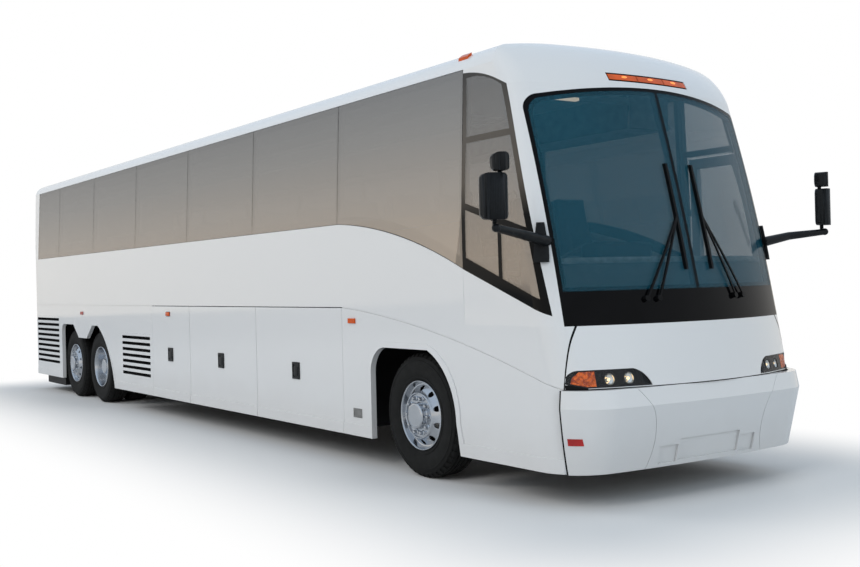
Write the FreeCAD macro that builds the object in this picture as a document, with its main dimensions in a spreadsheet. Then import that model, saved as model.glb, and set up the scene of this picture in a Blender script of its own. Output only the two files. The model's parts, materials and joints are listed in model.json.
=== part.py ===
import FreeCAD, Part
import math
import os

import Sketcher

# Driving dimensions, in millimetres and degrees
sizes = {
    # Whole body
    "overall_length": 13840,
    "body_width": 2590,
    "body_height": 3560,
    "skirt_height": 270,
    "belt_height": 2215,
    "cant_height": 3330,
    "cant_inset": 50,
    "shoulder_inset": 250,
    "shoulder_drop": 66,
    "shoulder_bulge": 28,
    "wall_thick": 45,
    "shut_gap": 8,
    "seat_gap": 0.3,
    "overrun": 100,
    # Seams along the body, from its middle
    "front_seam_place": 5500,
    "rear_seam_place": 6650,
    # Nose
    "nose_plan_radius": 3020,
    "nose_corner_radius": 220,
    "nose_low_corner_radius": 300,
    "panel_low_height": 865,
    "panel_low_reach": 6900,
    "sill_height": 1315,
    "sill_reach": 6800,
    "header_height": 3137,
    "header_reach": 6354,
    "glass_bulge": 24,
    "cap_radius": 717,
    "nose_back": 5000,
    # Windows
    "glass_thick": 8,
    "post_width": 90,
    "rail_height": 60,
    "pane_gap": 8,
    "belt_fall_place": 3550,
    "belt_low_height": 1752,
    "belt_tip_place": 6490,
    "belt_tip_height": 1390,
    "screen_half_width": 1190,
    "screen_corner_drop": 87,
    "screen_corner_radius": 120,
    "band_height": 250,
    "divider_width": 30,
    "gasket_width": 28,
    "cab_window_inset": 330,
    "cab_bar_height": 2740,
    "cab_bar_width": 50,
    "cab_rail_rear_height": 2256,
    "cab_rail_front_height": 1946,
    "cab_top_height": 3300,
    "cab_frame_width": 45,
    # Decks, rails and bulkheads
    "deck_height": 1420,
    "deck_thick": 60,
    "bay_floor_height": 340,
    "bay_floor_thick": 40,
    "bulkhead_thick": 40,
    "rail_place": 400,
    "rail_thick": 80,
    "rail_depth": 200,
    "cab_floor_height": 900,
    "step_height": 380,
    "step_depth": 200,
    "step_count": 3,
    "step_wall": 20,
    "step_half_gap": 380,
    # Wheels and axles
    "front_axle_place": 4750,
    "drive_axle_place": 3650,
    "tag_axle_place": 4870,
    "tyre_radius": 530,
    "tyre_width": 300,
    "tyre_shoulder": 45,
    "tyre_inset": 60,
    "dual_spacing": 345,
    "rim_radius": 290,
    "flange_height": 20,
    "rim_thick": 14,
    "disc_thick": 22,
    "disc_depth": 60,
    "front_disc_depth": 40,
    "dual_disc_depth": 150,
    "hand_hole_radius": 28,
    "hand_hole_circle": 212,
    "hand_hole_count": 10,
    "hub_radius": 105,
    "hub_cap_radius": 85,
    "hub_reach": 60,
    "bore_radius": 60,
    "lug_circle": 150,
    "lug_radius": 14,
    "lug_length": 40,
    "kingpin_place": 930,
    "kingpin_radius": 26,
    "kingpin_length": 300,
    "knuckle_width": 110,
    "knuckle_height": 170,
    "axle_beam_drop": 90,
    "axle_beam_height": 110,
    "axle_beam_width": 120,
    "axle_tube_radius": 75,
    "axle_ball_radius": 190,
    "spring_radius": 125,
    "spring_offset": 230,
    "spring_arm_height": 60,
    "steer_limit": 45,
    "undertray_low": 130,
    "undertray_half_width": 1200,
    # Lines of the flank
    "trim_out": 8,
    "lip_width": 50,
    "rocker_height": 375,
    "groove_width": 7,
    "flank_middle_place": 5190,
    "flank_middle_height": 1228,
    "skirt_tab_depth": 200,
    "skirt_tab_top_half": 460,
    "skirt_tab_low_half": 188,
    # Louvres
    "louvre_border": 14,
    "rear_louvre_front": 5500,
    "rear_louvre_back": 6770,
    "rear_louvre_low": 456,
    "rear_louvre_high": 1263,
    "rear_louvre_count": 9,
    "mid_louvre_front": 1400,
    "mid_louvre_back": 2500,
    "mid_louvre_low": 465,
    "mid_louvre_high": 1065,
    "mid_louvre_count": 7,
    # Wheel arches
    "front_arch_back": 660,
    "front_arch_ahead": 690,
    "front_arch_top": 1095,
    "front_arch_round": 230,
    "rear_arch_back": 460,
    "rear_arch_ahead": 840,
    "rear_arch_top": 1140,
    "rear_arch_round": 520,
    # Luggage bay doors
    "bay_door_top": 1430,
    "bay_seam_one": 3590,
    "bay_seam_two": 1760,
    "bay_seam_three": -70,
    "bay_seam_four": -1320,
    "barrel_radius": 7,
    # Engine door and engine
    "engine_door_half_width": 850,
    "engine_door_low": 480,
    "engine_door_high": 1520,
    "flange_lap": 40,
    "rear_corner_radius": 140,
    "engine_length": 900,
    "engine_width": 900,
    "engine_height": 800,
    "engine_low": 500,
    # Entrance door
    "door_rear": 5600,
    "door_front": 6420,
    "door_low": 340,
    "door_high": 2715,
    "door_rail": 90,
    "door_glass_low": 1100,
    # Bumper
    "bumper_reach": 6920,
    "bumper_plan_radius": 9000,
    "bumper_corner_radius": 400,
    "bumper_low_height": 262,
    "bumper_low_setback": 120,
    "bumper_mid_height": 736,
    "bumper_top_setback": 30,
    "bumper_side_out": 8,
    "bumper_thick": 60,
    "bumper_seam_place": 690,
    "bumper_rear": 6585,
    "recess_depth": 20,
    "plate_recess_half": 330,
    "plate_recess_low": 300,
    "plate_recess_high": 461,
    "side_recess_inner": 345,
    "side_recess_outer": 530,
    "side_recess_low": 290,
    "side_recess_high": 420,
    # Lamps
    "lamp_inner_place": 602,
    "lamp_peak_place": 740,
    "lamp_brow_place": 1150,
    "lamp_tip_place": 1228,
    "lamp_foot_place": 1110,
    "lamp_low_height": 875,
    "lamp_tip_height": 905,
    "lamp_high_height": 1002,
    "marker_thick": 12,
    "marker_length": 120,
    "marker_height": 45,
    "marker_low_height": 1298,
    "marker_front_place": 3773,
    "marker_rear_place": 4287,
    "roof_marker_place": 5430,
    "roof_marker_side": 1170,
    "cap_lamp_half_width": 430,
    "cap_lamp_height": 3215,
    "cap_lamp_tall": 46,
    "cap_lamp_margin": 12,
    "tail_lamp_width": 110,
    "tail_lamp_height": 620,
    "tail_lamp_low": 820,
    # Mirrors
    "mirror_arm_radius": 26,
    "mirror_root_radius": 42,
    "mirror_elbow_radius": 34,
    "mirror_root_place": 6415,
    "mirror_root_height": 1925,
    "mirror_elbow_place": 6458,
    "mirror_elbow_reach": 1500,
    "mirror_elbow_height": 1980,
    "mirror_ahead_place": 6592,
    "mirror_reach": 1820,
    "mirror_arm_height": 2012,
    "mirror_head_rise": 58,
    "mirror_width": 200,
    "mirror_height": 315,
    "mirror_thick": 100,
    "mirror_round": 45,
    "mirror_split": 15,
    "mirror_upper_width": 125,
    "mirror_upper_height": 126,
    "mirror_upper_aside": 45,
    "mirror_turn": 20,
    "bracket_low": 1780,
    "bracket_high": 2070,
    "bracket_rear": 6365,
    "bracket_front": 6450,
    # Wipers
    "wiper_pivot_place": 536,
    "wiper_pivot_height": 1500,
    "wiper_tip_place": 145,
    "wiper_tip_shift": 40,
    "wiper_tip_height": 2118,
    "wiper_arm_thick": 14,
    "wiper_blade_length": 820,
    "wiper_blade_thick": 22,
    "wiper_stand_off": 16,
    "wiper_arm_spread": 110,
    # Inside
    "dash_height": 1800,
    "dash_place": 6330,
    "dash_half_width": 1100,
    "wheel_ring_radius": 225,
    "wheel_ring_thick": 15,
    "wheel_spoke_count": 3,
    "wheel_lean": 30,
    "column_length": 420,
    "driver_place": 560,
    "driver_seat_width": 500,
    "driver_seat_rear": 5580,
    "seat_width": 1010,
    "seat_pitch": 860,
    "seat_count": 13,
    "seat_first_place": 4300,
    "seat_cushion_length": 450,
    "seat_cushion_height": 440,
    "seat_cushion_thick": 150,
    "seat_back_height": 1080,
    "seat_back_thick": 140,
    "seat_back_rake": 150,
    "aisle_half_width": 190,
    "rack_low": 3010,
    "rack_depth": 520,
    "rack_thick": 40,
}

doc = FreeCAD.newDocument("coach")
sheet = doc.addObject("Spreadsheet::Sheet", "sizes")
for row, (alias, number) in enumerate(sizes.items(), start=1):
    cell = "A%d" % row
    sheet.set(cell, str(number))
    sheet.setAlias(cell, alias)
doc.recompute()


# A length that keeps its sheet expression beside its value
class Length:
    def __init__(self, value, text):
        self.value = value
        self.text = text

    def __float__(self):
        return float(self.value)

    def __add__(self, other):
        other = as_length(other)
        return Length(self.value + other.value, "(%s + %s)" % (self.text, other.text))

    def __radd__(self, other):
        return as_length(other) + self

    def __sub__(self, other):
        other = as_length(other)
        return Length(self.value - other.value, "(%s - %s)" % (self.text, other.text))

    def __rsub__(self, other):
        return as_length(other) - self

    def __mul__(self, other):
        other = as_length(other)
        return Length(self.value * other.value, "(%s * %s)" % (self.text, other.text))

    def __rmul__(self, other):
        return as_length(other) * self

    def __truediv__(self, other):
        other = as_length(other)
        return Length(self.value / other.value, "(%s / %s)" % (self.text, other.text))

    def __neg__(self):
        return Length(-self.value, "(-1 * %s)" % self.text)


def as_length(number):
    if isinstance(number, Length):
        return number
    return Length(number, repr(number))


def root_of(length):
    return Length(math.sqrt(length.value), "sqrt(%s)" % length.text)


class Sheet:
    def __getattr__(self, alias):
        return Length(float(sheet.get(alias)), "sizes." + alias)


s = Sheet()


# Bound objects: each size of each one is an expression of the sheet
def bind(item, prop, length):
    item.setExpression(prop, as_length(length).text)


def place(item, x, y, z):
    item.Placement.Base = FreeCAD.Vector(float(x), float(y), float(z))
    bind(item, "Placement.Base.x", x)
    bind(item, "Placement.Base.y", y)
    bind(item, "Placement.Base.z", z)


def block(name, x, y, z):
    item = doc.addObject("Part::Box", name)
    for prop, (low, high) in zip(("Length", "Width", "Height"), (x, y, z)):
        bind(item, prop, high - low)
    place(item, x[0], y[0], z[0])
    return item


turns = {
    "x": FreeCAD.Rotation(FreeCAD.Vector(0, 1, 0), 90),
    "y": FreeCAD.Rotation(FreeCAD.Vector(1, 0, 0), -90),
    "z": FreeCAD.Rotation(),
}


def rod(name, axis, start, radius, length):
    item = doc.addObject("Part::Cylinder", name)
    bind(item, "Radius", radius)
    bind(item, "Height", length)
    item.Placement.Rotation = turns[axis]
    place(item, *start)
    return item


def via(across, up):
    return (across, up, "via")


planes = {
    "side": (FreeCAD.Rotation(FreeCAD.Vector(1, 0, 0), 90), FreeCAD.Vector(0, 1, 0)),
    "plan": (FreeCAD.Rotation(), FreeCAD.Vector(0, 0, 1)),
    "front": (FreeCAD.Rotation(FreeCAD.Vector(1, 1, 1), 120), FreeCAD.Vector(1, 0, 0)),
}


def pin(sketch, edge, end, across, up):
    for kind, axis, length in (("DistanceX", -2, across), ("DistanceY", -1, up)):
        if float(length) == 0:
            sketch.addConstraint(Sketcher.Constraint("PointOnObject", edge, end, axis))
            continue
        row = sketch.addConstraint(
            Sketcher.Constraint(kind, -1, 1, edge, end, float(length)))
        if isinstance(length, Length):
            bind(sketch, "Constraints[%d]" % row, length)


def draw(sketch, outline):
    corners = [spot for spot in outline if len(spot) == 2]
    count = len(corners)
    ends = []
    for number, start in enumerate(corners):
        stop = corners[(number + 1) % count]
        after = outline.index(start) + 1
        middle = outline[after % len(outline)]
        first = FreeCAD.Vector(float(start[0]), float(start[1]), 0)
        last = FreeCAD.Vector(float(stop[0]), float(stop[1]), 0)
        if len(middle) == 2:
            edge = sketch.addGeometry(Part.LineSegment(first, last))
            ends.append((edge, 1, 2))
            continue
        bend = FreeCAD.Vector(float(middle[0]), float(middle[1]), 0)
        edge = sketch.addGeometry(Part.Arc(first, bend, last))
        forward = sketch.getPoint(edge, 1).distanceToPoint(first) < first.distanceToPoint(last) / 2
        ends.append((edge, 1, 2) if forward else (edge, 2, 1))
        spot = sketch.addGeometry(Part.Point(bend), True)
        sketch.addConstraint(Sketcher.Constraint("PointOnObject", spot, 1, edge))
        pin(sketch, spot, 1, middle[0], middle[1])
    for number, start in enumerate(corners):
        edge, near, far = ends[number]
        following = ends[(number + 1) % count]
        sketch.addConstraint(Sketcher.Constraint("Coincident", edge, far, following[0], following[1]))
        pin(sketch, edge, near, start[0], start[1])


def sketch_on(name, plane, offset):
    sketch = doc.addObject("Sketcher::SketchObject", name + "_sketch")
    rotation, normal = planes[plane]
    sketch.Placement.Rotation = rotation
    place(sketch, *[offset if part else 0 for part in normal])
    return sketch


def prism(name, plane, low, high, *outlines):
    sketch = sketch_on(name, plane, low)
    for outline in outlines:
        draw(sketch, outline)
    item = doc.addObject("Part::Extrusion", name)
    item.Base = sketch
    item.DirMode = "Custom"
    item.Dir = planes[plane][1]
    item.Solid = True
    item.FaceMakerClass = "Part::FaceMakerBullseye"
    bind(item, "LengthFwd", high - low)
    return item


def turned(name, plane, axis, outline):
    sketch = sketch_on(name, plane, as_length(0))
    draw(sketch, outline)
    item = doc.addObject("Part::Revolution", name)
    item.Source = sketch
    item.Axis = axis
    item.Angle = 360
    item.Solid = True
    return item


def fuse(name, *parts):
    item = doc.addObject("Part::MultiFuse", name)
    item.Shapes = list(parts)
    return item


def common(name, base, tool):
    item = doc.addObject("Part::Common", name)
    item.Base = base
    item.Tool = tool
    return item


def cut(name, base, *tools):
    for number, tool in enumerate(tools):
        item = doc.addObject("Part::Cut", "%s_cut%d" % (name, number))
        item.Base = base
        item.Tool = tool
        base = item
    return base


def group(name, *parts):
    item = doc.addObject("Part::Compound", name)
    item.Links = list(parts)
    return item


def mirrored(name, source):
    item = doc.addObject("Part::Mirroring", name)
    item.Source = source
    item.Normal = FreeCAD.Vector(0, 1, 0)
    return item


def both(name, source):
    return group(name, source, mirrored(name + "_left", source))


def oblong(x, z):
    return [(x[0], z[0]), (x[1], z[0]), (x[1], z[1]), (x[0], z[1])]


# Where a quarter round passes, measured from the corner that it replaces
corner_share = 0.293


def soft_oblong(x, z, radius):
    near = corner_share * radius
    return [
        (x[0] + radius, z[0]),
        (x[1] - radius, z[0]),
        via(x[1] - near, z[0] + near),
        (x[1], z[0] + radius),
        (x[1], z[1] - radius),
        via(x[1] - near, z[1] - near),
        (x[1] - radius, z[1]),
        (x[0] + radius, z[1]),
        via(x[0] + near, z[1] - near),
        (x[0], z[1] - radius),
        (x[0], z[0] + radius),
        via(x[0] + near, z[0] + near),
    ]


def bar_outline(start, stop, width):
    # A bar of one width between two points of a view
    run = float(stop[0] - start[0])
    rise = float(stop[1] - start[1])
    reach = math.hypot(run, rise)
    aside = (width / 2) * (rise / reach)
    along = (width / 2) * (run / reach)
    return [
        (start[0] - aside, start[1] + along),
        (stop[0] - aside, stop[1] + along),
        (stop[0] + aside, stop[1] - along),
        (start[0] + aside, start[1] - along),
    ]


pieces = []


def piece(node, item):
    item.Label = node
    pieces.append(item)
    return item


# Lines of the body that several panels share
half_length = s.overall_length / 2
half_width = s.body_width / 2
cant_half = half_width - s.cant_inset
shoulder_half = half_width - s.shoulder_inset
shoulder_height = s.body_height - s.shoulder_drop
front_seam = s.front_seam_place
rear_seam = -s.rear_seam_place
inner_half = half_width - s.wall_thick


def body_section(inset, low):
    # Half rounds at the cant rails join the leaning windows to the crowned roof
    bend_half = (cant_half + shoulder_half) / 2 + s.shoulder_bulge
    bend_height = (s.cant_height + shoulder_height) / 2 + s.shoulder_bulge
    return [
        (-half_width + inset, low),
        (half_width - inset, low),
        (half_width - inset, s.belt_height),
        (cant_half - inset, s.cant_height),
        via(bend_half - inset, bend_height - inset),
        (shoulder_half - inset, shoulder_height - inset),
        via(as_length(0), s.body_height - inset),
        (-shoulder_half + inset, shoulder_height - inset),
        via(-bend_half + inset, bend_height - inset),
        (-cant_half + inset, s.cant_height),
        (-half_width + inset, s.belt_height),
    ]


def body_form(name, inset, low, back, front):
    return prism(name, "front", back, front, body_section(inset, low))


whole_form = body_form("whole_form", 0 * s.wall_thick, s.skirt_height, rear_seam, front_seam)
glass_form = body_form("glass_form", s.glass_thick, s.skirt_height, rear_seam, front_seam)
hollow_form = body_form("hollow_form", s.wall_thick, s.skirt_height - s.overrun,
                        -half_length + s.wall_thick, half_length)

# Nose: plan sections, each a wide front arc with two corner arcs, lofted upwards


def plan_section(name, height, nose, half, corner, plan_radius):
    sketch = sketch_on(name, "plan", height)
    centre = float(nose) - float(plan_radius)
    corner_y = float(half) - float(corner)
    reach = float(plan_radius) - float(corner)
    corner_x = centre + math.sqrt(reach ** 2 - corner_y ** 2)
    angle = math.atan2(corner_y, corner_x - centre)
    back = float(s.nose_back)
    wide = float(half)
    up = FreeCAD.Vector(0, 0, 1)
    flat = FreeCAD.Vector(corner_x, -corner_y, 0)
    left = FreeCAD.Vector(corner_x, corner_y, 0)
    middle = FreeCAD.Vector(centre, 0, 0)
    quarter = math.pi / 2
    shapes = [
        Part.LineSegment(FreeCAD.Vector(back, -wide, 0), FreeCAD.Vector(corner_x, -wide, 0)),
        Part.ArcOfCircle(Part.Circle(flat, up, float(corner)), -quarter, -angle),
        Part.ArcOfCircle(Part.Circle(middle, up, float(plan_radius)), -angle, angle),
        Part.ArcOfCircle(Part.Circle(left, up, float(corner)), angle, quarter),
        Part.LineSegment(FreeCAD.Vector(corner_x, wide, 0), FreeCAD.Vector(back, wide, 0)),
        Part.LineSegment(FreeCAD.Vector(back, wide, 0), FreeCAD.Vector(back, -wide, 0)),
    ]
    for shape in shapes:
        sketch.addGeometry(shape)
    for edge in range(4):
        sketch.addConstraint(Sketcher.Constraint("Tangent", edge, 2, edge + 1, 1))
    sketch.addConstraint(Sketcher.Constraint("Coincident", 4, 2, 5, 1))
    sketch.addConstraint(Sketcher.Constraint("Coincident", 5, 2, 0, 1))
    sketch.addConstraint(Sketcher.Constraint("Horizontal", 0))
    sketch.addConstraint(Sketcher.Constraint("Horizontal", 4))
    sketch.addConstraint(Sketcher.Constraint("PointOnObject", 2, 3, -1))
    for edge, radius in ((1, corner), (2, plan_radius), (3, corner)):
        row = sketch.addConstraint(Sketcher.Constraint("Radius", edge, float(radius)))
        bind(sketch, "Constraints[%d]" % row, radius)
    row = sketch.addConstraint(Sketcher.Constraint("DistanceX", -1, 1, 2, 3, centre))
    bind(sketch, "Constraints[%d]" % row, nose - plan_radius)
    pin(sketch, 0, 1, s.nose_back, -half)
    pin(sketch, 4, 2, s.nose_back, half)
    return sketch


def half_width_at(height):
    lean = s.cant_inset / (s.cant_height - s.belt_height)
    if float(height) <= float(s.belt_height):
        return half_width
    return half_width - lean * (height - s.belt_height)


# The screen's side view: a straight rake with a small bulge
screen_rake = (s.sill_reach - s.header_reach) / (s.header_height - s.sill_height)


def screen_reach(height):
    climb = (height - s.sill_height) / (s.header_height - s.sill_height)
    bulge = 4 * s.glass_bulge * climb * (1 - climb)
    return s.sill_reach - screen_rake * (height - s.sill_height) + bulge


def cap_reach(height, inset):
    # A round brow that ends level at the roof
    radius = s.cap_radius - inset
    centre_height = s.body_height - s.cap_radius
    rise = height - centre_height
    full_rise = s.header_height - centre_height
    back = s.header_reach - root_of(s.cap_radius * s.cap_radius - full_rise * full_rise)
    return back + root_of(radius * radius - rise * rise)


screen_shares = (0, 0.25, 0.5, 0.75, 1)
brow_shares = (0, 0.3, 0.58, 0.8, 0.94, 1)


def loft(name, sketches, ruled):
    item = doc.addObject("Part::Loft", name)
    item.Sections = sketches
    item.Solid = True
    item.Ruled = ruled
    return item


def nose_form(name, inset):
    radius = s.nose_plan_radius - inset
    low = [
        plan_section(name + "_skirt", s.skirt_height, s.panel_low_reach - inset,
                     half_width - inset, s.nose_low_corner_radius - inset, radius),
        plan_section(name + "_low", s.panel_low_height, s.panel_low_reach - inset,
                     half_width - inset, s.nose_low_corner_radius - inset, radius),
        plan_section(name + "_sill", s.sill_height, s.sill_reach - inset,
                     half_width - inset, s.nose_corner_radius - inset, radius),
    ]
    screen = []
    for number, share in enumerate(screen_shares):
        height = s.sill_height + share * (s.header_height - s.sill_height)
        screen.append(plan_section(
            "%s_screen%d" % (name, number), height, screen_reach(height) - inset,
            half_width_at(height) - inset, s.nose_corner_radius - inset, radius))
    brow = []
    for number, share in enumerate(brow_shares):
        height = s.header_height + share * (s.body_height - inset - s.header_height)
        brow.append(plan_section(
            "%s_brow%d" % (name, number), height, cap_reach(height, inset),
            half_width_at(s.header_height) - inset, s.nose_corner_radius - inset, radius))
    return (
        loft(name + "_low_loft", low, True),
        loft(name + "_screen_loft", screen, False),
        loft(name + "_brow_loft", brow, False),
    )


outer_nose = nose_form("outer_nose", 0 * s.wall_thick)
glass_nose = nose_form("glass_nose", s.glass_thick)
inner_nose = nose_form("inner_nose", s.wall_thick)
nose_x = (front_seam, half_length + s.overrun)
nose_y = (-half_width - s.overrun, half_width + s.overrun)


low_ring = cut("low_ring", outer_nose[0], inner_nose[0])
screen_ring = cut("screen_ring", outer_nose[1], inner_nose[1])
side_y = (-half_width - s.overrun, half_width + s.overrun)
right_y = (-half_width - s.overrun, as_length(0))
left_y = (as_length(0), half_width + s.overrun)


def across(name, y, *outlines):
    return prism(name, "side", y[0], y[1], *outlines)


# Belt line: level, then a long fall to the foot of the screen
belt_bend = ((s.belt_fall_place + front_seam) / 2, (s.belt_height + s.belt_low_height) / 2)
belt_rise_share = 0.19
belt_via = via(belt_bend[0], belt_bend[1] + belt_rise_share * (s.belt_height - s.belt_low_height))

# Roof: one crowned skin between the two end caps
roof_low = s.cant_height
roof_region = block("roof_region", (rear_seam, front_seam), nose_y,
                    (roof_low, s.body_height + s.overrun))
roof = cut("roof", common("roof_skin", whole_form, roof_region), hollow_form)
piece("roof", roof)

# Side walls: belt line above, wheel arches and bay door openings below
front_axle = s.front_axle_place
drive_axle = -s.drive_axle_place
tag_axle = -s.tag_axle_place
low_cut = s.skirt_height - s.overrun


no_lip = 0 * s.lip_width
knee_share = 0.3


def front_arch(name, y, lip, foot):
    back = front_axle - s.front_arch_back - lip
    ahead = front_axle + s.front_arch_ahead + lip
    high = s.front_arch_top + lip
    bend = s.front_arch_round
    far_share = 0.7
    turn = bend + lip
    return across(name, y, [
        (back, foot),
        (ahead, foot),
        (ahead - knee_share * bend, s.tyre_radius),
        via(ahead - bend, high - far_share * bend - knee_share * lip),
        (ahead - 2 * bend - lip, high),
        (back + turn, high),
        via(back + knee_share * turn, high - knee_share * turn),
        (back, high - turn),
    ])


def rear_arch(name, y, lip, foot):
    # A skirt tab hangs between the two wheels
    back = tag_axle - s.rear_arch_back - lip
    ahead = drive_axle + s.rear_arch_ahead + lip
    high = s.rear_arch_top + lip
    bend = s.rear_arch_round + lip
    small = s.front_arch_round / 2 + lip
    slope_share = 1.4
    middle = (drive_axle + tag_axle) / 2
    tab_low = s.rear_arch_top - s.skirt_tab_depth
    return across(name, y, [
        (back, foot),
        (ahead, foot),
        via(ahead - knee_share * bend, high - bend),
        (ahead - slope_share * bend, high),
        (middle + s.skirt_tab_top_half, high),
        (middle + s.skirt_tab_low_half, tab_low),
        (middle - s.skirt_tab_low_half, tab_low),
        (middle - s.skirt_tab_top_half, high),
        (back + small, high),
        via(back + knee_share * small, high - knee_share * small),
        (back, high - small),
    ])


bay_axis_height = s.bay_door_top
bay_gap = s.barrel_radius + s.shut_gap
wall_outline = [
    (rear_seam, s.skirt_height),
    (front_seam, s.skirt_height),
    (front_seam, s.belt_low_height),
    belt_via,
    (s.belt_fall_place, s.belt_height),
    (rear_seam, s.belt_height),
]
wall = across("wall", (-half_width, -inner_half), wall_outline)
bay_hole_high = bay_axis_height + bay_gap
bay_hole = across("bay_hole", right_y, oblong(
    (s.bay_seam_four, s.bay_seam_one), (low_cut, bay_hole_high)))

# Raised lips round the arches and a raised rocker along the foot of the wall
trim_y = (-half_width - s.trim_out, -half_width)
rocker_z = (s.skirt_height, s.rocker_height)
lips = fuse("lips", front_arch("front_lip", trim_y, s.lip_width, s.skirt_height),
            rear_arch("rear_lip", trim_y, s.lip_width, s.skirt_height),
            block("rocker_right", (rear_seam, front_seam), trim_y, rocker_z))

# A groove runs on from the doors' upper edge: level behind, falling to the lamp ahead
groove_low = bay_hole_high - s.groove_width
flank_end = s.panel_low_height + s.groove_width
falling_groove = [
    (s.bay_seam_one, bay_hole_high),
    via(s.flank_middle_place, s.flank_middle_height),
    (s.bumper_rear, flank_end),
    (s.bumper_rear, flank_end - s.groove_width),
    via(s.flank_middle_place, s.flank_middle_height - s.groove_width),
    (s.bay_seam_one, groove_low),
]
level_groove = oblong((-half_length, s.bay_seam_four), (groove_low, bay_hole_high))
groove_y = (-half_width - s.overrun, -half_width + s.glass_thick)
flank_groove = across("flank_groove", groove_y, falling_groove, level_groove)

# Louvre panels: one behind the luggage bays and one beside the engine
louvre_places = (
    ("mid", (-s.mid_louvre_back, -s.mid_louvre_front),
     (s.mid_louvre_low, s.mid_louvre_high), "mid_louvre_count"),
    ("rear", (-s.rear_louvre_back, -s.rear_louvre_front),
     (s.rear_louvre_low, s.rear_louvre_high), "rear_louvre_count"),
)
slot_share = 0.5
slot_fall_share = 0.35
louvre_panels = []
louvre_holes = []
for name, x, z, count in louvre_places:
    pitch = (z[1] - z[0] - 2 * s.louvre_border) / sizes[count]
    fall = slot_fall_share * pitch
    slots = []
    for number in range(sizes[count]):
        low = z[0] + s.louvre_border + (number + slot_share / 2) * pitch
        high = low + slot_share * pitch
        slots.append([
            (-half_width - s.wall_thick, low - fall),
            (-half_width - s.wall_thick, high - fall),
            (-inner_half + s.wall_thick, high + 2 * fall),
            (-inner_half + s.wall_thick, low + 2 * fall),
        ])
    slot_cutter = prism(name + "_slots", "front", x[0] + s.louvre_border, x[1] - s.louvre_border, *slots)
    louvre_panels.append(cut(name + "_louvre", block(
        name + "_louvre_plate", x, (-half_width, -inner_half), z), slot_cutter))
    louvre_holes.append(block(
        name + "_louvre_hole", (x[0] - s.seat_gap, x[1] + s.seat_gap),
        (-half_width - s.overrun, -inner_half + s.overrun),
        (z[0] - s.seat_gap, z[1] + s.seat_gap)))
piece("louvres", both("louvres", group("louvres_right", *louvre_panels)))

side_wall_right = cut("side_wall_right", fuse("wall_trimmed", wall, lips),
                      front_arch("front_arch_right", right_y, no_lip, low_cut),
                      rear_arch("rear_arch_right", right_y, no_lip, low_cut), bay_hole,
                      flank_groove, group("louvre_holes_right", *louvre_holes))
piece("side_wall_right", side_wall_right)
piece("side_wall_left", mirrored("side_wall_left", side_wall_right))

# Side windows: eight bonded panes a side over posts and rails
pane_seam_shares = (0.6436, 0.3123, -0.0182, -0.3455, -0.6727, -0.9909)
pane_seams = [share * front_seam for share in pane_seam_shares]
stops = [front_seam] + pane_seams + [rear_seam]


def pane_outline(number, side, foot, head):
    # Panes and the openings behind them differ only in their margins
    front = stops[number] - side
    back = stops[number + 1] + side
    high = s.cant_height - head
    if number > 0:
        return oblong((back, front), (s.belt_height + foot, high))
    share = 0.97
    return [
        (front, s.belt_low_height + foot + side),
        via(belt_via[0], belt_via[1] + foot + side * share),
        (back, s.belt_height + foot),
        (back, high),
        (front, high),
    ]


glass_skin = cut("glass_skin", whole_form, glass_form)
pane_count = len(stops) - 1
pane_outlines = [pane_outline(number, s.pane_gap / 2, s.pane_gap / 2, s.pane_gap / 2)
                 for number in range(pane_count)]
panes_right = common("panes_right", glass_skin, across("pane_cutter", right_y, *pane_outlines))
frame_form = cut("frame_form", glass_form, hollow_form)
frame_outline = [
    (rear_seam, s.belt_height),
    (s.belt_fall_place, s.belt_height),
    belt_via,
    (front_seam, s.belt_low_height),
    (front_seam, s.cant_height),
    (rear_seam, s.cant_height),
]
frame_holes = [pane_outline(number, s.post_width / 2, s.rail_height, s.rail_height)
               for number in range(pane_count)]
frame_whole = common("frame_whole", frame_form,
                     across("frame_cutter", right_y, frame_outline, *frame_holes))
# Rails and posts meet with a hair of air
post_foot = s.belt_height + s.rail_height
post_head = s.cant_height - s.rail_height
tall_foot = s.belt_low_height + s.rail_height + s.post_width / 2
long_x = (rear_seam, front_seam)
frame_slits = fuse(
    "frame_slits",
    block("foot_slit", long_x, right_y, (post_foot, post_foot + s.seat_gap)),
    block("head_slit", long_x, right_y, (post_head - s.seat_gap, post_head)),
    block("bend_slit", (s.belt_fall_place, s.belt_fall_place + s.seat_gap), right_y,
          (s.belt_low_height, post_foot + s.seat_gap)),
    block("tall_slit", (front_seam - s.post_width / 2, front_seam), right_y,
          (tall_foot, tall_foot + s.seat_gap)))
window_frame = cut("window_frame", frame_whole, frame_slits)
piece("window_frames", both("window_frames", window_frame))

# Front corners: flat panels ahead of the wheels that turn into the nose
corner_low = s.skirt_height
corner_outline = [
    (front_seam, corner_low),
    (s.bumper_rear, corner_low),
    (s.bumper_rear, s.sill_height),
    (s.belt_tip_place, s.belt_tip_height),
    (front_seam, s.belt_low_height),
]
low_reach = s.panel_low_reach + s.trim_out
rocker_rows = [
    plan_section("rocker_row%d" % number, height, low_reach, half_width + s.trim_out,
                 s.nose_low_corner_radius + s.trim_out, s.nose_plan_radius + s.trim_out)
    for number, height in enumerate(rocker_z)]
rocker_ring = cut("rocker_ring", loft("rocker_loft", rocker_rows, True), inner_nose[0])
corner_form = common(
    "corner_form", fuse("corner_rings", low_ring, screen_ring, rocker_ring),
    across("corner_cutter", side_y, corner_outline))
low_skin = cut("low_skin", outer_nose[0], glass_nose[0])
corner_groove = common("corner_groove", low_skin, across("groove_cutter", side_y, falling_groove))


def screen_edge(height):
    return screen_reach(height) - s.cab_window_inset


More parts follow.
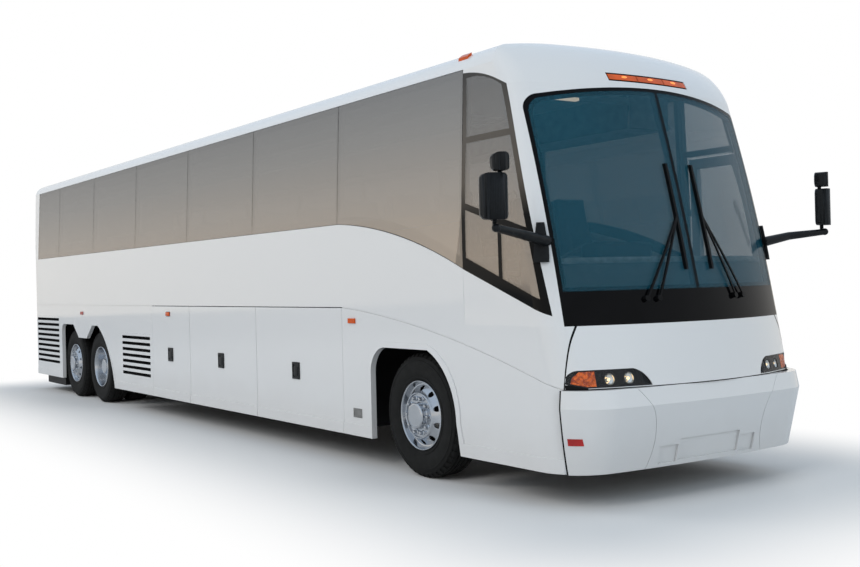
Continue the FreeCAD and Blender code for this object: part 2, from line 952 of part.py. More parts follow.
door_outline = [
    (s.door_rear, s.door_low),
    (s.door_front, s.door_low),
    (s.door_front, s.sill_height),
    via(screen_edge((s.sill_height + s.door_high) / 2) - s.shut_gap,
        (s.sill_height + s.door_high) / 2),
    (screen_edge(s.door_high) - s.shut_gap, s.door_high),
    (s.door_rear, s.door_high),
]
gap = s.shut_gap
door_hole_outline = [
    (s.door_rear - gap, s.door_low - gap),
    (s.door_front + gap + s.barrel_radius, s.door_low - gap),
    (s.door_front + gap + s.barrel_radius, s.sill_height),
    via(screen_edge((s.sill_height + s.door_high) / 2), (s.sill_height + s.door_high) / 2),
    (screen_edge(s.door_high), s.door_high + gap),
    (s.door_rear - gap, s.door_high + gap),
]
door_hole = across("door_hole", left_y, door_hole_outline)

# Nose panel between the bumper and the screen, with the lamp openings
panel_region = block("panel_region", (s.bumper_rear, half_length + s.overrun), nose_y,
                     (s.panel_low_height, s.sill_height))
lamp_end_share = 0.17
lamp_rise_share = 0.68
lamp_start_share = 0.42
lamp_outline_half = [
    (s.lamp_inner_place, s.lamp_low_height),
    (s.lamp_foot_place, s.lamp_low_height),
    (s.lamp_tip_place, s.lamp_tip_height),
    via(s.lamp_tip_place - lamp_end_share * (s.lamp_tip_place - s.lamp_brow_place),
        s.lamp_tip_height + lamp_rise_share * (s.lamp_high_height - s.lamp_tip_height)),
    (s.lamp_brow_place, s.lamp_high_height),
    (s.lamp_peak_place, s.lamp_high_height),
    via(s.lamp_inner_place + lamp_start_share * (s.lamp_peak_place - s.lamp_inner_place),
        s.lamp_low_height + lamp_rise_share * (s.lamp_high_height - s.lamp_low_height)),
]
lamp_left = prism("lamp_left", "front", s.bumper_rear, half_length + s.overrun, lamp_outline_half)
lamp_holes = both("lamp_holes", lamp_left)
nose_panel = common("nose_panel", low_ring, panel_region)
piece("front_panel", cut("front_panel", nose_panel, lamp_holes))
lamp_skin = cut("lamp_skin", glass_nose[0], inner_nose[0])
piece("headlamps", common("headlamps", common("lamp_region", lamp_skin, panel_region), lamp_holes))

# Front cap: brow over the screen with the two corner pillars
cap_block = block("cap_block", nose_x, nose_y, (s.header_height, s.body_height + s.overrun))
roof_front = body_form("roof_front", 0 * s.wall_thick, s.skirt_height, front_seam,
                       half_length + s.overrun)
roof_hollow = body_form("roof_hollow", s.wall_thick, s.skirt_height,
                        s.nose_back - s.overrun, half_length + s.overrun)
brow_outer = common("brow_outer", common("brow_solid", outer_nose[2], roof_front), cap_block)
brow_inner = common("brow_inner", inner_nose[2], roof_hollow)
brow = cut("brow", brow_outer, brow_inner)
screen_high = s.header_height
screen_corner_high = s.header_height - s.screen_corner_drop


def screen_outline(margin, low):
    half = s.screen_half_width - margin
    bend_share = 0.3
    bend = s.screen_corner_radius
    corner_high = screen_corner_high - margin
    return [
        (-half, low),
        (half, low),
        (half, corner_high - bend),
        via(half - bend_share * bend, corner_high - bend_share * bend),
        (half - bend, corner_high),
        via(as_length(0), screen_high - margin),
        (-half + bend, corner_high),
        via(-half + bend_share * bend, corner_high - bend_share * bend),
        (-half, corner_high - bend),
    ]


screen_x = (front_seam, half_length + s.overrun)
screen_hole = prism("screen_hole", "front", screen_x[0], screen_x[1],
                    screen_outline(0 * gap, s.sill_height))
piece("front_corners", cut("front_corners", corner_form, door_hole, screen_hole, corner_groove))
pillar_block = block("pillar_block", nose_x, nose_y, (s.sill_height, s.header_height))
cab_top = s.cab_top_height


belt_slope = (s.belt_low_height - s.belt_tip_height) / (s.belt_tip_place - front_seam)


def cab_outline(margin, high):
    # The cab side window leans with the screen and rounds off under the brow
    half_way = (s.belt_tip_height + s.header_height) / 2
    rear = front_seam + margin
    foot = 2 * margin
    return [
        (rear, s.belt_low_height + foot),
        (s.belt_tip_place - foot, s.belt_tip_height + foot + belt_slope * foot),
        via(screen_edge(half_way) - margin, half_way),
        (screen_edge(s.header_height) - margin, s.header_height),
        via(screen_edge(s.header_height) - 3 * margin - s.cab_window_inset / 2,
            (s.header_height + high) / 2 + margin / 2),
        (rear, high - margin),
    ]


cab_hole = across("cab_hole", side_y, cab_outline(0 * gap, cab_top))
pillar_cut = across("pillar_cut", side_y, [
    (front_seam - s.overrun, s.sill_height - s.overrun),
    (s.bumper_rear + s.overrun, s.sill_height - s.overrun),
    (s.bumper_rear + s.overrun, s.sill_height),
    (s.bumper_rear, s.sill_height),
    (s.belt_tip_place, s.belt_tip_height),
    (front_seam, s.belt_low_height),
    (front_seam - s.overrun, s.belt_low_height),
])
pillars = cut("pillars", common("pillar_ring", screen_ring, pillar_block),
              screen_hole, pillar_cut)
cap_whole = fuse("cap_whole", brow, pillars)

# A shallow recess over the screen takes the cap lamp
cap_skin = cut("cap_skin", outer_nose[2], glass_nose[2])
cap_lamp_z = (s.cap_lamp_height - s.cap_lamp_tall / 2, s.cap_lamp_height + s.cap_lamp_tall / 2)
cap_recess_half = s.cap_lamp_half_width + s.cap_lamp_margin
cap_recess = common("cap_recess", cap_skin, prism(
    "cap_recess_cutter", "front", front_seam, half_length, oblong(
        (-cap_recess_half, cap_recess_half),
        (cap_lamp_z[0] - s.cap_lamp_margin, cap_lamp_z[1] + s.cap_lamp_margin))))
piece("front_cap", cut("front_cap", cap_whole, cab_hole, door_hole, cap_recess))

# Screen: two bonded panes with a dark divider, gasket and lower band
screen_skin = cut("screen_skin", outer_nose[1], glass_nose[1])
pane_low = s.sill_height + s.band_height
left_pane_cut = block("divider_gap", screen_x, (-s.divider_width / 2, s.divider_width / 2),
                      (s.sill_height - s.overrun, s.header_height + s.overrun))
pane_cutter = prism("screen_pane", "front", screen_x[0], screen_x[1],
                    screen_outline(s.gasket_width, pane_low))
screen_panes = cut("screen_panes", common("screen_glass", screen_skin, pane_cutter), left_pane_cut)
piece("windshield", screen_panes)
frame_blank = common("screen_blank", screen_ring, screen_hole)
frame_opening = prism("frame_opening", "front", screen_x[0], screen_x[1],
                      screen_outline(2 * s.gasket_width, pane_low + s.gasket_width))
frame_lap = cut("frame_lap", common("frame_lap_skin", screen_skin, pane_cutter), left_pane_cut)
divider_bar = block("divider_bar", screen_x, (-s.divider_width, s.divider_width),
                    (s.sill_height, s.header_height))
frame_void = cut("frame_void", frame_opening, divider_bar)
windshield_frame = cut("windshield_frame", frame_blank, frame_lap, frame_void)
piece("windshield_frame", windshield_frame)

# Cab side window: black frame with a level bar, a slanting rail and a post below it
cab_ring = common("cab_ring", fuse("cab_rings", screen_ring, brow), cab_hole)
cab_inner = across("cab_inner", side_y, cab_outline(s.cab_frame_width, cab_top))
cab_bar = block("cab_bar", nose_x, nose_y, (s.cab_bar_height, s.cab_bar_height + s.cab_bar_width))
cab_rail = across("cab_rail", side_y, bar_outline(
    (front_seam, s.cab_rail_rear_height), (s.belt_tip_place, s.cab_rail_front_height), s.cab_bar_width))
post_share = 0.476
post_place = front_seam + post_share * (s.belt_tip_place - front_seam)
post_top = s.cab_rail_rear_height - post_share * (s.cab_rail_rear_height - s.cab_rail_front_height)
cab_post = block("cab_post", (post_place - s.cab_frame_width / 2, post_place + s.cab_frame_width / 2),
                 side_y, (s.belt_tip_height, post_top))
cab_void = cut("cab_void", cab_inner, cab_bar, cab_rail, cab_post)
cab_frame = cut("cab_frame", cab_ring, cab_void, door_hole, screen_hole)
piece("cab_window_frames", cab_frame)
cab_glass_skin = cut("cab_glass_skin", common("cab_glass_blank", cab_ring, cab_void), inner_nose[1])
cab_pane_form = fuse("cab_pane_form", glass_nose[1], glass_nose[2])
cab_glass = cut("cab_glass", cab_glass_skin, cab_pane_form, door_hole)
piece("side_glass", group("side_glass", panes_right, mirrored("panes_left", panes_right), cab_glass))

# Rear cap: closed end with rounded corners and the engine door opening
rear_outline = body_form("rear_outline", 0 * s.wall_thick, s.skirt_height, -half_length, rear_seam)
bend = s.rear_corner_radius
rear_plan = prism("rear_plan", "plan", as_length(0), s.body_height + s.overrun, [
    (rear_seam, -half_width),
    (rear_seam, half_width),
    (-half_length + bend, half_width),
    via(-half_length + corner_share * bend, half_width - corner_share * bend),
    (-half_length, half_width - bend),
    (-half_length, -half_width + bend),
    via(-half_length + corner_share * bend, -half_width + corner_share * bend),
    (-half_length + bend, -half_width),
])
rear_solid = common("rear_solid", rear_outline, rear_plan)
rear_hollow = body_form("rear_hollow", s.wall_thick, s.skirt_height - s.overrun,
                        -half_length + s.wall_thick, rear_seam + s.overrun)
engine_hole = prism("engine_hole", "front", -half_length - s.overrun, rear_seam, oblong(
    (-s.engine_door_half_width - gap, s.engine_door_half_width + gap),
    (s.engine_door_low - gap, s.engine_door_high + gap + s.barrel_radius)))
flange_x = (-half_length + s.wall_thick + s.seat_gap,
            -half_length + 2 * s.wall_thick)
flange_outer = block("flange_outer", flange_x,
                     (-s.engine_door_half_width - s.flange_lap, s.engine_door_half_width + s.flange_lap),
                     (s.engine_door_low - s.flange_lap, s.engine_door_high + s.flange_lap))
flange_inner = block("flange_inner", (-half_length, flange_x[1] + s.overrun),
                     (-s.engine_door_half_width + s.flange_lap, s.engine_door_half_width - s.flange_lap),
                     (s.engine_door_low + s.flange_lap, s.engine_door_high - s.flange_lap))
door_flange = cut("door_flange", flange_outer, flange_inner)
tail_y = (s.engine_door_half_width + 5 * gap, s.engine_door_half_width + 5 * gap + s.tail_lamp_width)
tail_half = block("tail_half", (-half_length, -half_length + s.marker_thick), tail_y,
                  (s.tail_lamp_low, s.tail_lamp_low + s.tail_lamp_height))
tail_lamps = both("tail_lamps", tail_half)
rear_rocker = both("rear_rocker", block("rocker_rear", (-half_length + bend, rear_seam), trim_y, rocker_z))
rear_cuts = fuse("rear_cuts", louvre_holes[1], flank_groove)
rear_shell = cut("rear_shell", fuse("rear_trimmed", rear_solid, rear_rocker), rear_hollow, engine_hole,
                 tail_lamps, both("rear_side_cuts", rear_cuts))
piece("rear_cap", fuse("rear_cap", rear_shell, door_flange))
piece("tail_lamps", tail_lamps)

# Bumper: a centre piece and two corners that wrap the nose


def bumper_form(name, inset, low_extra):
    radius = s.bumper_plan_radius - inset
    corner = s.bumper_corner_radius - inset
    half = half_width + s.bumper_side_out - inset
    rows = (
        (s.bumper_low_height - low_extra, s.bumper_reach - s.bumper_low_setback),
        (s.bumper_mid_height, s.bumper_reach),
        (s.panel_low_height + low_extra, s.bumper_reach - s.bumper_top_setback),
    )
    sections = []
    for number, (height, nose) in enumerate(rows):
        sections.append(plan_section("%s%d" % (name, number), height, nose - inset, half, corner, radius))
    return loft(name + "_loft", sections, True)


bumper_outer = bumper_form("bumper_outer", 0 * s.bumper_thick, 0 * gap)
bumper_shell = cut("bumper_shell", bumper_outer, bumper_form("bumper_inner", s.bumper_thick, gap))
bumper_x = (s.bumper_rear + s.seat_gap, half_length + s.overrun)

# The seams between the pieces swing in and out: shares of their place and of the height
seam_place_shares = (0.942, 0.861, 0.932, 1.014, 1.145)
seam_height_shares = (0.352, 0.726, 0.851)


def bumper_seams(name, margin):
    foot, waist, knee, shoulder, top = [share * s.bumper_seam_place + margin for share in seam_place_shares]
    rise = s.panel_low_height - s.bumper_low_height
    waist_z, knee_z, shoulder_z = [s.bumper_low_height + share * rise for share in seam_height_shares]
    low = s.bumper_low_height - gap
    high = s.panel_low_height + gap
    return prism(name, "front", bumper_x[0], bumper_x[1], [
        (-foot, low),
        (foot, low),
        via(waist, waist_z),
        (knee, knee_z),
        via(shoulder, shoulder_z),
        (top, high),
        (-top, high),
        via(-shoulder, shoulder_z),
        (-knee, knee_z),
        via(-waist, waist_z),
    ])


bumper_recess = common(
    "bumper_recess",
    cut("recess_skin", bumper_outer, bumper_form("recess_floor", s.recess_depth, gap)),
    prism("recess_cutter", "front", bumper_x[0], bumper_x[1],
          oblong((-s.plate_recess_half, s.plate_recess_half), (s.plate_recess_low, s.plate_recess_high)),
          oblong((s.side_recess_inner, s.side_recess_outer), (s.side_recess_low, s.side_recess_high)),
          oblong((-s.side_recess_outer, -s.side_recess_inner), (s.side_recess_low, s.side_recess_high))))
piece("bumper", cut("bumper", common("bumper_middle", bumper_shell, bumper_seams("middle_cutter", -gap / 4)),
                    bumper_recess))
corner_region = cut("corner_region", block("corner_block", bumper_x, side_y, (s.bumper_low_height - gap,
                    s.panel_low_height + gap)), bumper_seams("corner_seams", gap / 4))
piece("bumper_corners", common("bumper_corners", bumper_shell, corner_region))

# Decks: passenger floor, cab floor and entrance steps in one pressing
deck_low = s.deck_height - s.deck_thick
deck = block("deck_plate", (rear_seam + s.wall_thick, front_seam),
             (-inner_half + s.seat_gap, inner_half - s.seat_gap), (deck_low, s.deck_height))
step_front = s.door_front - s.flange_lap
side_half = inner_half - s.seat_gap
cab_floor = cut("cab_floor", common("cab_floor_form", inner_nose[0], block(
    "cab_floor_block", (front_seam, half_length), (-half_width, s.step_half_gap),
    (s.cab_floor_height - s.deck_thick, s.cab_floor_height))), bumper_shell)
step_rise = (s.cab_floor_height - s.step_height) / s.step_count
step_parts = []
for number in range(sizes["step_count"]):
    low = s.step_height - s.deck_thick
    high = s.step_height + number * step_rise
    reach = side_half if number == 0 else s.step_half_gap + (s.step_count - number) * s.step_depth
    step_parts.append(block("step%d" % number, (front_seam, step_front), (s.step_half_gap, reach), (low, high)))
well_front = block("well_front", (step_front, step_front + s.step_wall),
                   (s.step_half_gap, side_half), (s.step_height - s.deck_thick, s.cab_floor_height))
cab_wall = block("cab_wall", (front_seam - s.bulkhead_thick, front_seam),
                 (-side_half, side_half), (s.bay_floor_height - s.bay_floor_thick, deck_low))
piece("decks", fuse("decks", deck, cab_floor, well_front, cab_wall, *step_parts))

# Underframe: rails under the deck, bulkheads under the rails, bay floor and engine carrier
rail_high = deck_low
rail_low = rail_high - s.rail_depth
members = []
for side in (-1, 1):
    centre = side * s.rail_place
    members.append(block(
        "rail%d" % (side + 1), (rear_seam + s.wall_thick, front_seam - s.bulkhead_thick),
        (centre - s.rail_thick / 2, centre + s.rail_thick / 2), (rail_low, rail_high)))
bulk_y = (-inner_half + s.seat_gap, inner_half - s.seat_gap)
bulk_low = s.bay_floor_height - s.bay_floor_thick
bulk_high = rail_low - s.seat_gap
bulk_seams = (s.bay_seam_one, s.bay_seam_two, s.bay_seam_three, s.bay_seam_four)
half_bulk = s.bulkhead_thick / 2
for number, seam in enumerate(bulk_seams):
    members.append(block("bulkhead%d" % number, (seam - half_bulk, seam + half_bulk),
                         bulk_y, (s.bay_floor_height + s.seat_gap, bulk_high)))
members.append(block("bay_floor", (s.bay_seam_four - half_bulk, s.bay_seam_one + half_bulk), bulk_y,
                     (bulk_low, s.bay_floor_height)))
rear_bulk = -s.tag_axle_place - s.tyre_radius - s.overrun
rear_bulk_back = rear_bulk - s.bulkhead_thick
members.append(block("rear_bulkhead", (rear_bulk_back, rear_bulk), bulk_y, (bulk_low, bulk_high)))
engine_back = rear_bulk_back - s.engine_length
carrier_front = rear_bulk_back - s.seat_gap
carrier_low = s.engine_low - s.bulkhead_thick
members.append(block("engine_cradle", (engine_back, carrier_front),
                     (-s.engine_width / 2, s.engine_width / 2), (carrier_low, s.engine_low)))
members.append(block("undertray", (engine_back - s.overrun, carrier_front),
                     (-s.undertray_half_width, s.undertray_half_width),
                     (s.undertray_low, s.bay_floor_height)))
piece("underframe", group("underframe", *members))
piece("engine", block("engine", (engine_back, carrier_front), (-s.engine_width / 2, s.engine_width / 2),
                      (s.engine_low, s.engine_low + s.engine_height - s.rail_depth)))

# Wheels: turned tyres and rims, with hand holes, lugs and a hub cap
tyre_y = half_width - s.tyre_inset
axis_y = FreeCAD.Vector(0, 1, 0)


def tyre(name, outer):
    # The section stands in the plan plane and turns about the lateral axis
    inner = outer - s.tyre_width
    high = s.tyre_radius
    low = s.rim_radius
    edge = s.tyre_shoulder
    bulge_share = 0.12
    rise = high - low
    bead = low + s.flange_height
    return turned(name, "plan", axis_y, [
        (low, inner + edge),
        (bead, inner + edge),
        via(low + rise / 2, inner - bulge_share * edge),
        (high - edge / 2, inner + edge / 2),
        (high, inner + edge),
        (high, outer - edge),
        (high - edge / 2, outer - edge / 2),
        via(low + rise / 2, outer + bulge_share * edge),
        (bead, outer - edge),
        (low, outer - edge),
    ])


def rim(name, outer, inner, depth):
    # Barrel, two flanges, a dished disc with hand holes, hub, lugs and cap
    barrel_low = s.rim_radius - s.rim_thick
    edge = s.tyre_shoulder
    flange = s.rim_radius + s.flange_height
    disc_out = outer - depth
    disc_in = disc_out - s.disc_thick
    hub_in = disc_in - s.hub_reach
    lap = s.rim_thick / 2
    body = turned(name + "_body", "plan", axis_y, [
        (s.bore_radius, hub_in),
        (s.hub_radius, hub_in),
        (s.hub_radius + lap, disc_in),
        (barrel_low, disc_in),
        (barrel_low, inner + lap),
        (flange, inner + lap),
        (flange, inner + edge),
        (s.rim_radius, inner + edge),
        (s.rim_radius, outer - edge),
        (flange, outer - edge),
        (flange, outer - lap),
        (barrel_low, outer - lap),
        (barrel_low, disc_out),
        (s.hub_radius, disc_out),
        (s.hub_cap_radius, disc_out + s.lug_length),
        (s.bore_radius, disc_out + s.lug_length),
    ])
    cap_wall_height = s.lug_length + s.rim_thick
    cap = rod(name + "_cap", "y", (as_length(0), disc_out + s.lug_length, as_length(0)),
              s.hub_cap_radius, s.rim_thick)
    holes = []
    lugs = []
    for number in range(int(sizes["hand_hole_count"])):
        turn = 2 * math.pi * number / sizes["hand_hole_count"]
        across_share = math.cos(turn)
        up_share = math.sin(turn)
        holes.append(rod(
            "%s_hole%d" % (name, number), "y",
            (across_share * s.hand_hole_circle, disc_in - s.overrun, up_share * s.hand_hole_circle),
            s.hand_hole_radius, cap_wall_height + s.overrun))
        lugs.append(rod(
            "%s_lug%d" % (name, number), "y",
            (across_share * s.lug_circle, disc_in, up_share * s.lug_circle),
            s.lug_radius, s.lug_length + s.disc_thick))
    whole = fuse(name + "_whole", body, cap, *lugs)
    return cut(name, whole, group(name + "_holes", *holes))


def wheel(place_name, axle, right, outer, depth, dual):
    # Each wheel is modelled on the left and turned to its own side
    tyres = tyre(place_name + "_tyre_outer", outer)
    inner_edge = outer - s.tyre_width
    if dual:
        inner_tyre = tyre(place_name + "_tyre_inner", outer - s.dual_spacing)
        tyres = group(place_name + "_tyres", tyres, inner_tyre)
        inner_edge = outer - s.dual_spacing - s.tyre_width
    wheel_rim = rim(place_name + "_rim_form", outer, inner_edge, depth)
    made = []
    for item, label in ((tyres, "tyre_" + place_name), (wheel_rim, "rim_" + place_name)):
        node = group(label, item)
        if right:
            node.Placement.Rotation = FreeCAD.Rotation(FreeCAD.Vector(0, 0, 1), 180)
        place(node, axle, as_length(0), s.tyre_radius)
        made.append(piece(label, node))
    return made


for side_name, right in (("right", True), ("left", False)):
    wheel("front_" + side_name, front_axle, right, tyre_y, s.front_disc_depth, False)
    wheel("drive_" + side_name, drive_axle, right, tyre_y, s.dual_disc_depth, True)
    wheel("tag_" + side_name, tag_axle, right, tyre_y, s.disc_depth, False)

# Front axle: beam between the kingpins, with a knuckle and stub on each side
beam_low = s.tyre_radius - s.axle_beam_drop - s.axle_beam_height
beam_x = (front_axle - s.axle_beam_width / 2, front_axle + s.axle_beam_width / 2)
pin_low = s.tyre_radius - s.kingpin_length / 2
eye_y = (s.kingpin_place - s.knuckle_width / 2, s.kingpin_place + s.knuckle_width / 2)
beam = block("beam", beam_x, (-s.kingpin_place, s.kingpin_place), (beam_low, beam_low + s.axle_beam_height))
eye = rod("eye", "z", (front_axle, s.kingpin_place, beam_low), s.knuckle_width / 2, s.axle_beam_height)
axle_pin = rod("axle_pin", "z", (front_axle, s.kingpin_place, beam_low), s.kingpin_radius,
               s.axle_beam_height + s.axle_beam_drop + s.knuckle_height / 2)
arm_low = beam_low + s.axle_beam_height
spring_seats = []
for side in (-1, 1):
    spring_seats.append(rod(
        "front_seat%d" % (side + 1), "z", (front_axle, side * s.rail_place, arm_low),
        s.spring_radius, s.spring_arm_height))
front_axle_piece = fuse("front_axle", beam, both("eyes", eye), both("pins", axle_pin), *spring_seats)
piece("front_axle", front_axle_piece)
knuckle_low = beam_low + s.axle_beam_height + s.seat_gap
stub_start = s.kingpin_place
stub_stop = tyre_y - s.front_disc_depth
knuckle_block = rod("knuckle_block", "z", (front_axle, s.kingpin_place, knuckle_low),
                    s.knuckle_width / 2, s.axle_beam_drop + s.knuckle_height / 2)
stub = rod("stub", "y", (front_axle, stub_start, s.tyre_radius), s.bore_radius - s.seat_gap,
           stub_stop - stub_start)
pin_hole = rod("pin_hole", "z", (front_axle, s.kingpin_place, beam_low),
               s.kingpin_radius + s.seat_gap, s.overrun + s.kingpin_length)
knuckle = cut("knuckle_left", fuse("knuckle_whole", knuckle_block, stub), pin_hole)
piece("knuckle_left", knuckle)
piece("knuckle_right", mirrored("knuckle_right", knuckle))

# Rear axles: tube, final drive casing and stubs that carry the wheels
rear_parts = []
for name, axle, depth in (("drive", drive_axle, s.dual_disc_depth), ("tag", tag_axle, s.disc_depth)):
    reach = tyre_y - depth
    shaft = rod(name + "_shaft", "y", (axle, -reach, s.tyre_radius), s.bore_radius - s.seat_gap, 2 * reach)
    tube_half = tyre_y - s.dual_spacing - s.tyre_width - s.overrun / 4
    tube = rod(name + "_tube", "y", (axle, -tube_half, s.tyre_radius), s.axle_tube_radius, 2 * tube_half)
    members = [shaft, tube]
    for side in (-1, 1):
        members.append(rod(
            "%s_seat%d" % (name, side + 1), "z", (axle, side * s.rail_place, s.tyre_radius),
            s.spring_radius, s.axle_tube_radius + s.spring_arm_height))
    if name == "drive":
        ball = doc.addObject("Part::Sphere", "drive_ball")
        bind(ball, "Radius", s.axle_ball_radius)
        place(ball, axle, as_length(0), s.tyre_radius)
        members.append(ball)
    rear_parts.append(fuse(name + "_axle", *members))
piece("rear_axles", group("rear_axles", *rear_parts))

# Air springs between the axles and the rails
springs = []
bellow_share = 1.12
waist_share = 0.86
front_top = arm_low + s.spring_arm_height
rear_top = s.tyre_radius + s.axle_tube_radius + s.spring_arm_height
for number, (axle, low) in enumerate(((front_axle, front_top), (drive_axle, rear_top), (tag_axle, rear_top))):
    for side in (-1, 1):
        middle = (low + rail_low) / 2
        bulge = s.spring_radius * bellow_share
        waist = s.spring_radius * waist_share
        spring = turned("spring%d%d" % (number, side + 1), "front", FreeCAD.Vector(0, 0, 1), [
            (as_length(0), low),
            (waist, low),
            via(bulge, (low + middle) / 2),
            (waist, middle),
            via(bulge, (rail_low + middle) / 2),
            (waist, rail_low),
            (as_length(0), rail_low),
        ])
        holder = group("spring_place%d%d" % (number, side + 1), spring)
        place(holder, axle, side * s.rail_place, as_length(0))
        springs.append(holder)
piece("air_springs", group("air_springs", *springs))

# Luggage bay doors: hinged at the top, each with a rounded barrel edge
door_y = (-half_width, -inner_half)
bay_axis_y = -half_width + s.barrel_radius
bay_pairs = ((s.bay_seam_one, s.bay_seam_two), (s.bay_seam_two, s.bay_seam_three),
             (s.bay_seam_three, s.bay_seam_four))
for number, (ahead, behind) in enumerate(bay_pairs, start=1):
    x = (behind + gap / 2, ahead - gap / 2)
    leaf = block("leaf%d" % number, x, door_y, (s.skirt_height, s.bay_door_top))
    barrel = rod("barrel%d" % number, "x", (x[0], bay_axis_y, s.bay_door_top), s.barrel_radius, x[1] - x[0])
    rocker = block("door_rocker%d" % number, x, trim_y, rocker_z)
    door = fuse("bay_door_right_%d" % number, leaf, barrel, rocker)
    piece("bay_door_right_%d" % number, door)
    piece("bay_door_left_%d" % number, mirrored("bay_door_left_%d" % number, door))

# Engine door in the rear cap, hinged at its top edge
engine_x = (-half_length, -half_length + s.wall_thick)
engine_leaf = block("engine_leaf", engine_x, (-s.engine_door_half_width, s.engine_door_half_width),
                    (s.engine_door_low, s.engine_door_high))
engine_barrel = rod("engine_barrel", "y",
                    (-half_length + s.barrel_radius, -s.engine_door_half_width, s.engine_door_high),
                    s.barrel_radius, 2 * s.engine_door_half_width)
piece("engine_door", fuse("engine_door", engine_leaf, engine_barrel))

# Entrance door: a leaf of the nose itself with a tall window
door_rings = fuse("door_rings", low_ring, screen_ring)
door_leaf = common("door_leaf", door_rings, across("door_cutter", left_y, door_outline))
rail = s.door_rail
glass_top = s.door_high - rail
half_way = (s.door_glass_low + glass_top) / 2
door_window = across("door_window", left_y, [
    (s.door_rear + rail, s.door_glass_low),
    (s.door_front - rail, s.door_glass_low),
    via(screen_edge(half_way) - rail, half_way),
    (screen_edge(glass_top) - rail, glass_top),
    (s.door_rear + rail, glass_top),
])
piece("entrance_door", cut("entrance_door", door_leaf, door_window, corner_groove))
door_skin = cut("door_skin", door_rings, fuse("door_glass_form", glass_nose[0], glass_nose[1]))
piece("entrance_glass", common("entrance_glass", door_skin, door_window))

# Marker lamps: two on each side, one on each roof shoulder and three over the screen
markers = []
marker_z = (s.marker_low_height, s.marker_low_height + s.marker_height)
half_marker = s.marker_length / 2
for name, x in (("front", s.marker_front_place), ("rear", -s.marker_rear_place)):
    markers.append(block(name + "_marker", (x - half_marker, x + half_marker),
                         (-half_width - s.marker_thick, -half_width), marker_z))
marker_form = body_form("marker_form", -s.marker_thick, s.skirt_height, rear_seam, front_seam)
markers.append(common("roof_marker", cut("marker_skin", marker_form, whole_form), block(
    "roof_marker_place", (s.roof_marker_place - half_marker, s.roof_marker_place + half_marker),
    (-s.roof_marker_side - s.marker_height / 2, -s.roof_marker_side + s.marker_height / 2),
    (s.cant_height, s.body_height))))
side_markers = both("side_markers", group("right_markers", *markers))
lens_seam_share = 0.34
lens_gap = s.pane_gap / 2
lens_seam = lens_seam_share * s.cap_lamp_half_width
cap_lamp = common("cap_lamp", cap_skin, prism(
    "cap_lamp_cutter", "front", front_seam, half_length,
    oblong((-s.cap_lamp_half_width, -lens_seam - lens_gap), cap_lamp_z),
    oblong((-lens_seam + lens_gap, lens_seam - lens_gap), cap_lamp_z),
    oblong((lens_seam + lens_gap, s.cap_lamp_half_width), cap_lamp_z)))
piece("marker_lamps", group("marker_lamps", side_markers, cap_lamp))

# Skins that follow the screen at a distance carry the mirror brackets and the wipers
def screen_form(name, away):
    rows = []
    for number, share in enumerate(screen_shares):
        height = s.sill_height + share * (s.header_height - s.sill_height)
        rows.append(plan_section(
            "%s%d" % (name, number), height, screen_reach(height) + away,
            half_width_at(height) + away, s.nose_corner_radius + away, s.nose_plan_radius + away))
    return loft(name, rows, False)


def wiper_shell(name, near, far):
    return cut(name, screen_form(name + "_far", far), screen_form(name + "_near", near))


wiper_away = s.wiper_stand_off + s.wiper_arm_thick
blade_shell = wiper_shell("blade_shell", s.seat_gap, wiper_away)


# Mirrors: a bracket on each pillar, a tapered bent arm and a head in two parts
def cone_between(name, start, stop, wide, narrow):
    first = FreeCAD.Vector(*[float(part) for part in start])
    last = FreeCAD.Vector(*[float(part) for part in stop])
    item = doc.addObject("Part::Cone", name)
    bind(item, "Radius1", wide)
    bind(item, "Radius2", narrow)
    item.Height = last.distanceToPoint(first)
    item.Placement.Rotation = FreeCAD.Rotation(FreeCAD.Vector(0, 0, 1), last - first)
    place(item, *start)
    return item


def ball(name, centre, radius):
    item = doc.addObject("Part::Sphere", name)
    bind(item, "Radius", radius)
    place(item, *centre)
    return item


def housing(name, y, z, thick):
    # Rounded from the front, flat on the glass side and bulged ahead
    face = prism(name + "_face", "front", -thick / 2, thick / 2, soft_oblong(y, z, s.mirror_round))
    plan = prism(name + "_plan", "plan", z[0], z[1], [
        (-thick / 2, y[0]),
        (-thick / 4, y[0]),
        via(thick / 2, (y[0] + y[1]) / 2),
        (-thick / 4, y[1]),
        (-thick / 2, y[1]),
    ])
    return common(name, face, plan)


ball_share = 1.15
neck_share = 0.6
arm_radius = s.mirror_arm_radius
root_spot = (s.mirror_root_place, half_width - s.nose_corner_radius / 2, s.mirror_root_height)
elbow_spot = (s.mirror_elbow_place, s.mirror_elbow_reach, s.mirror_elbow_height)
end_spot = (s.mirror_ahead_place, s.mirror_reach, s.mirror_arm_height)
zero = as_length(0)
bracket = common("mirror_bracket", blade_shell, block(
    "bracket_place", (s.bracket_rear, s.bracket_front), left_y, (s.bracket_low, s.bracket_high)))
arm_parts = [
    cut("mirror_root_seated", cone_between(
        "mirror_root", root_spot, elbow_spot, s.mirror_root_radius, s.mirror_elbow_radius),
        screen_form("bracket_seat", wiper_away + s.seat_gap)),
    ball("mirror_elbow", elbow_spot, s.mirror_elbow_radius),
    cone_between("mirror_arm", elbow_spot, end_spot, s.mirror_elbow_radius, arm_radius),
    ball("mirror_end", end_spot, ball_share * arm_radius),
]
head_low = s.mirror_head_rise
head_high = head_low + s.mirror_height
upper_low = head_high + s.mirror_split
upper_half = s.mirror_upper_width / 2
aside = s.mirror_upper_aside
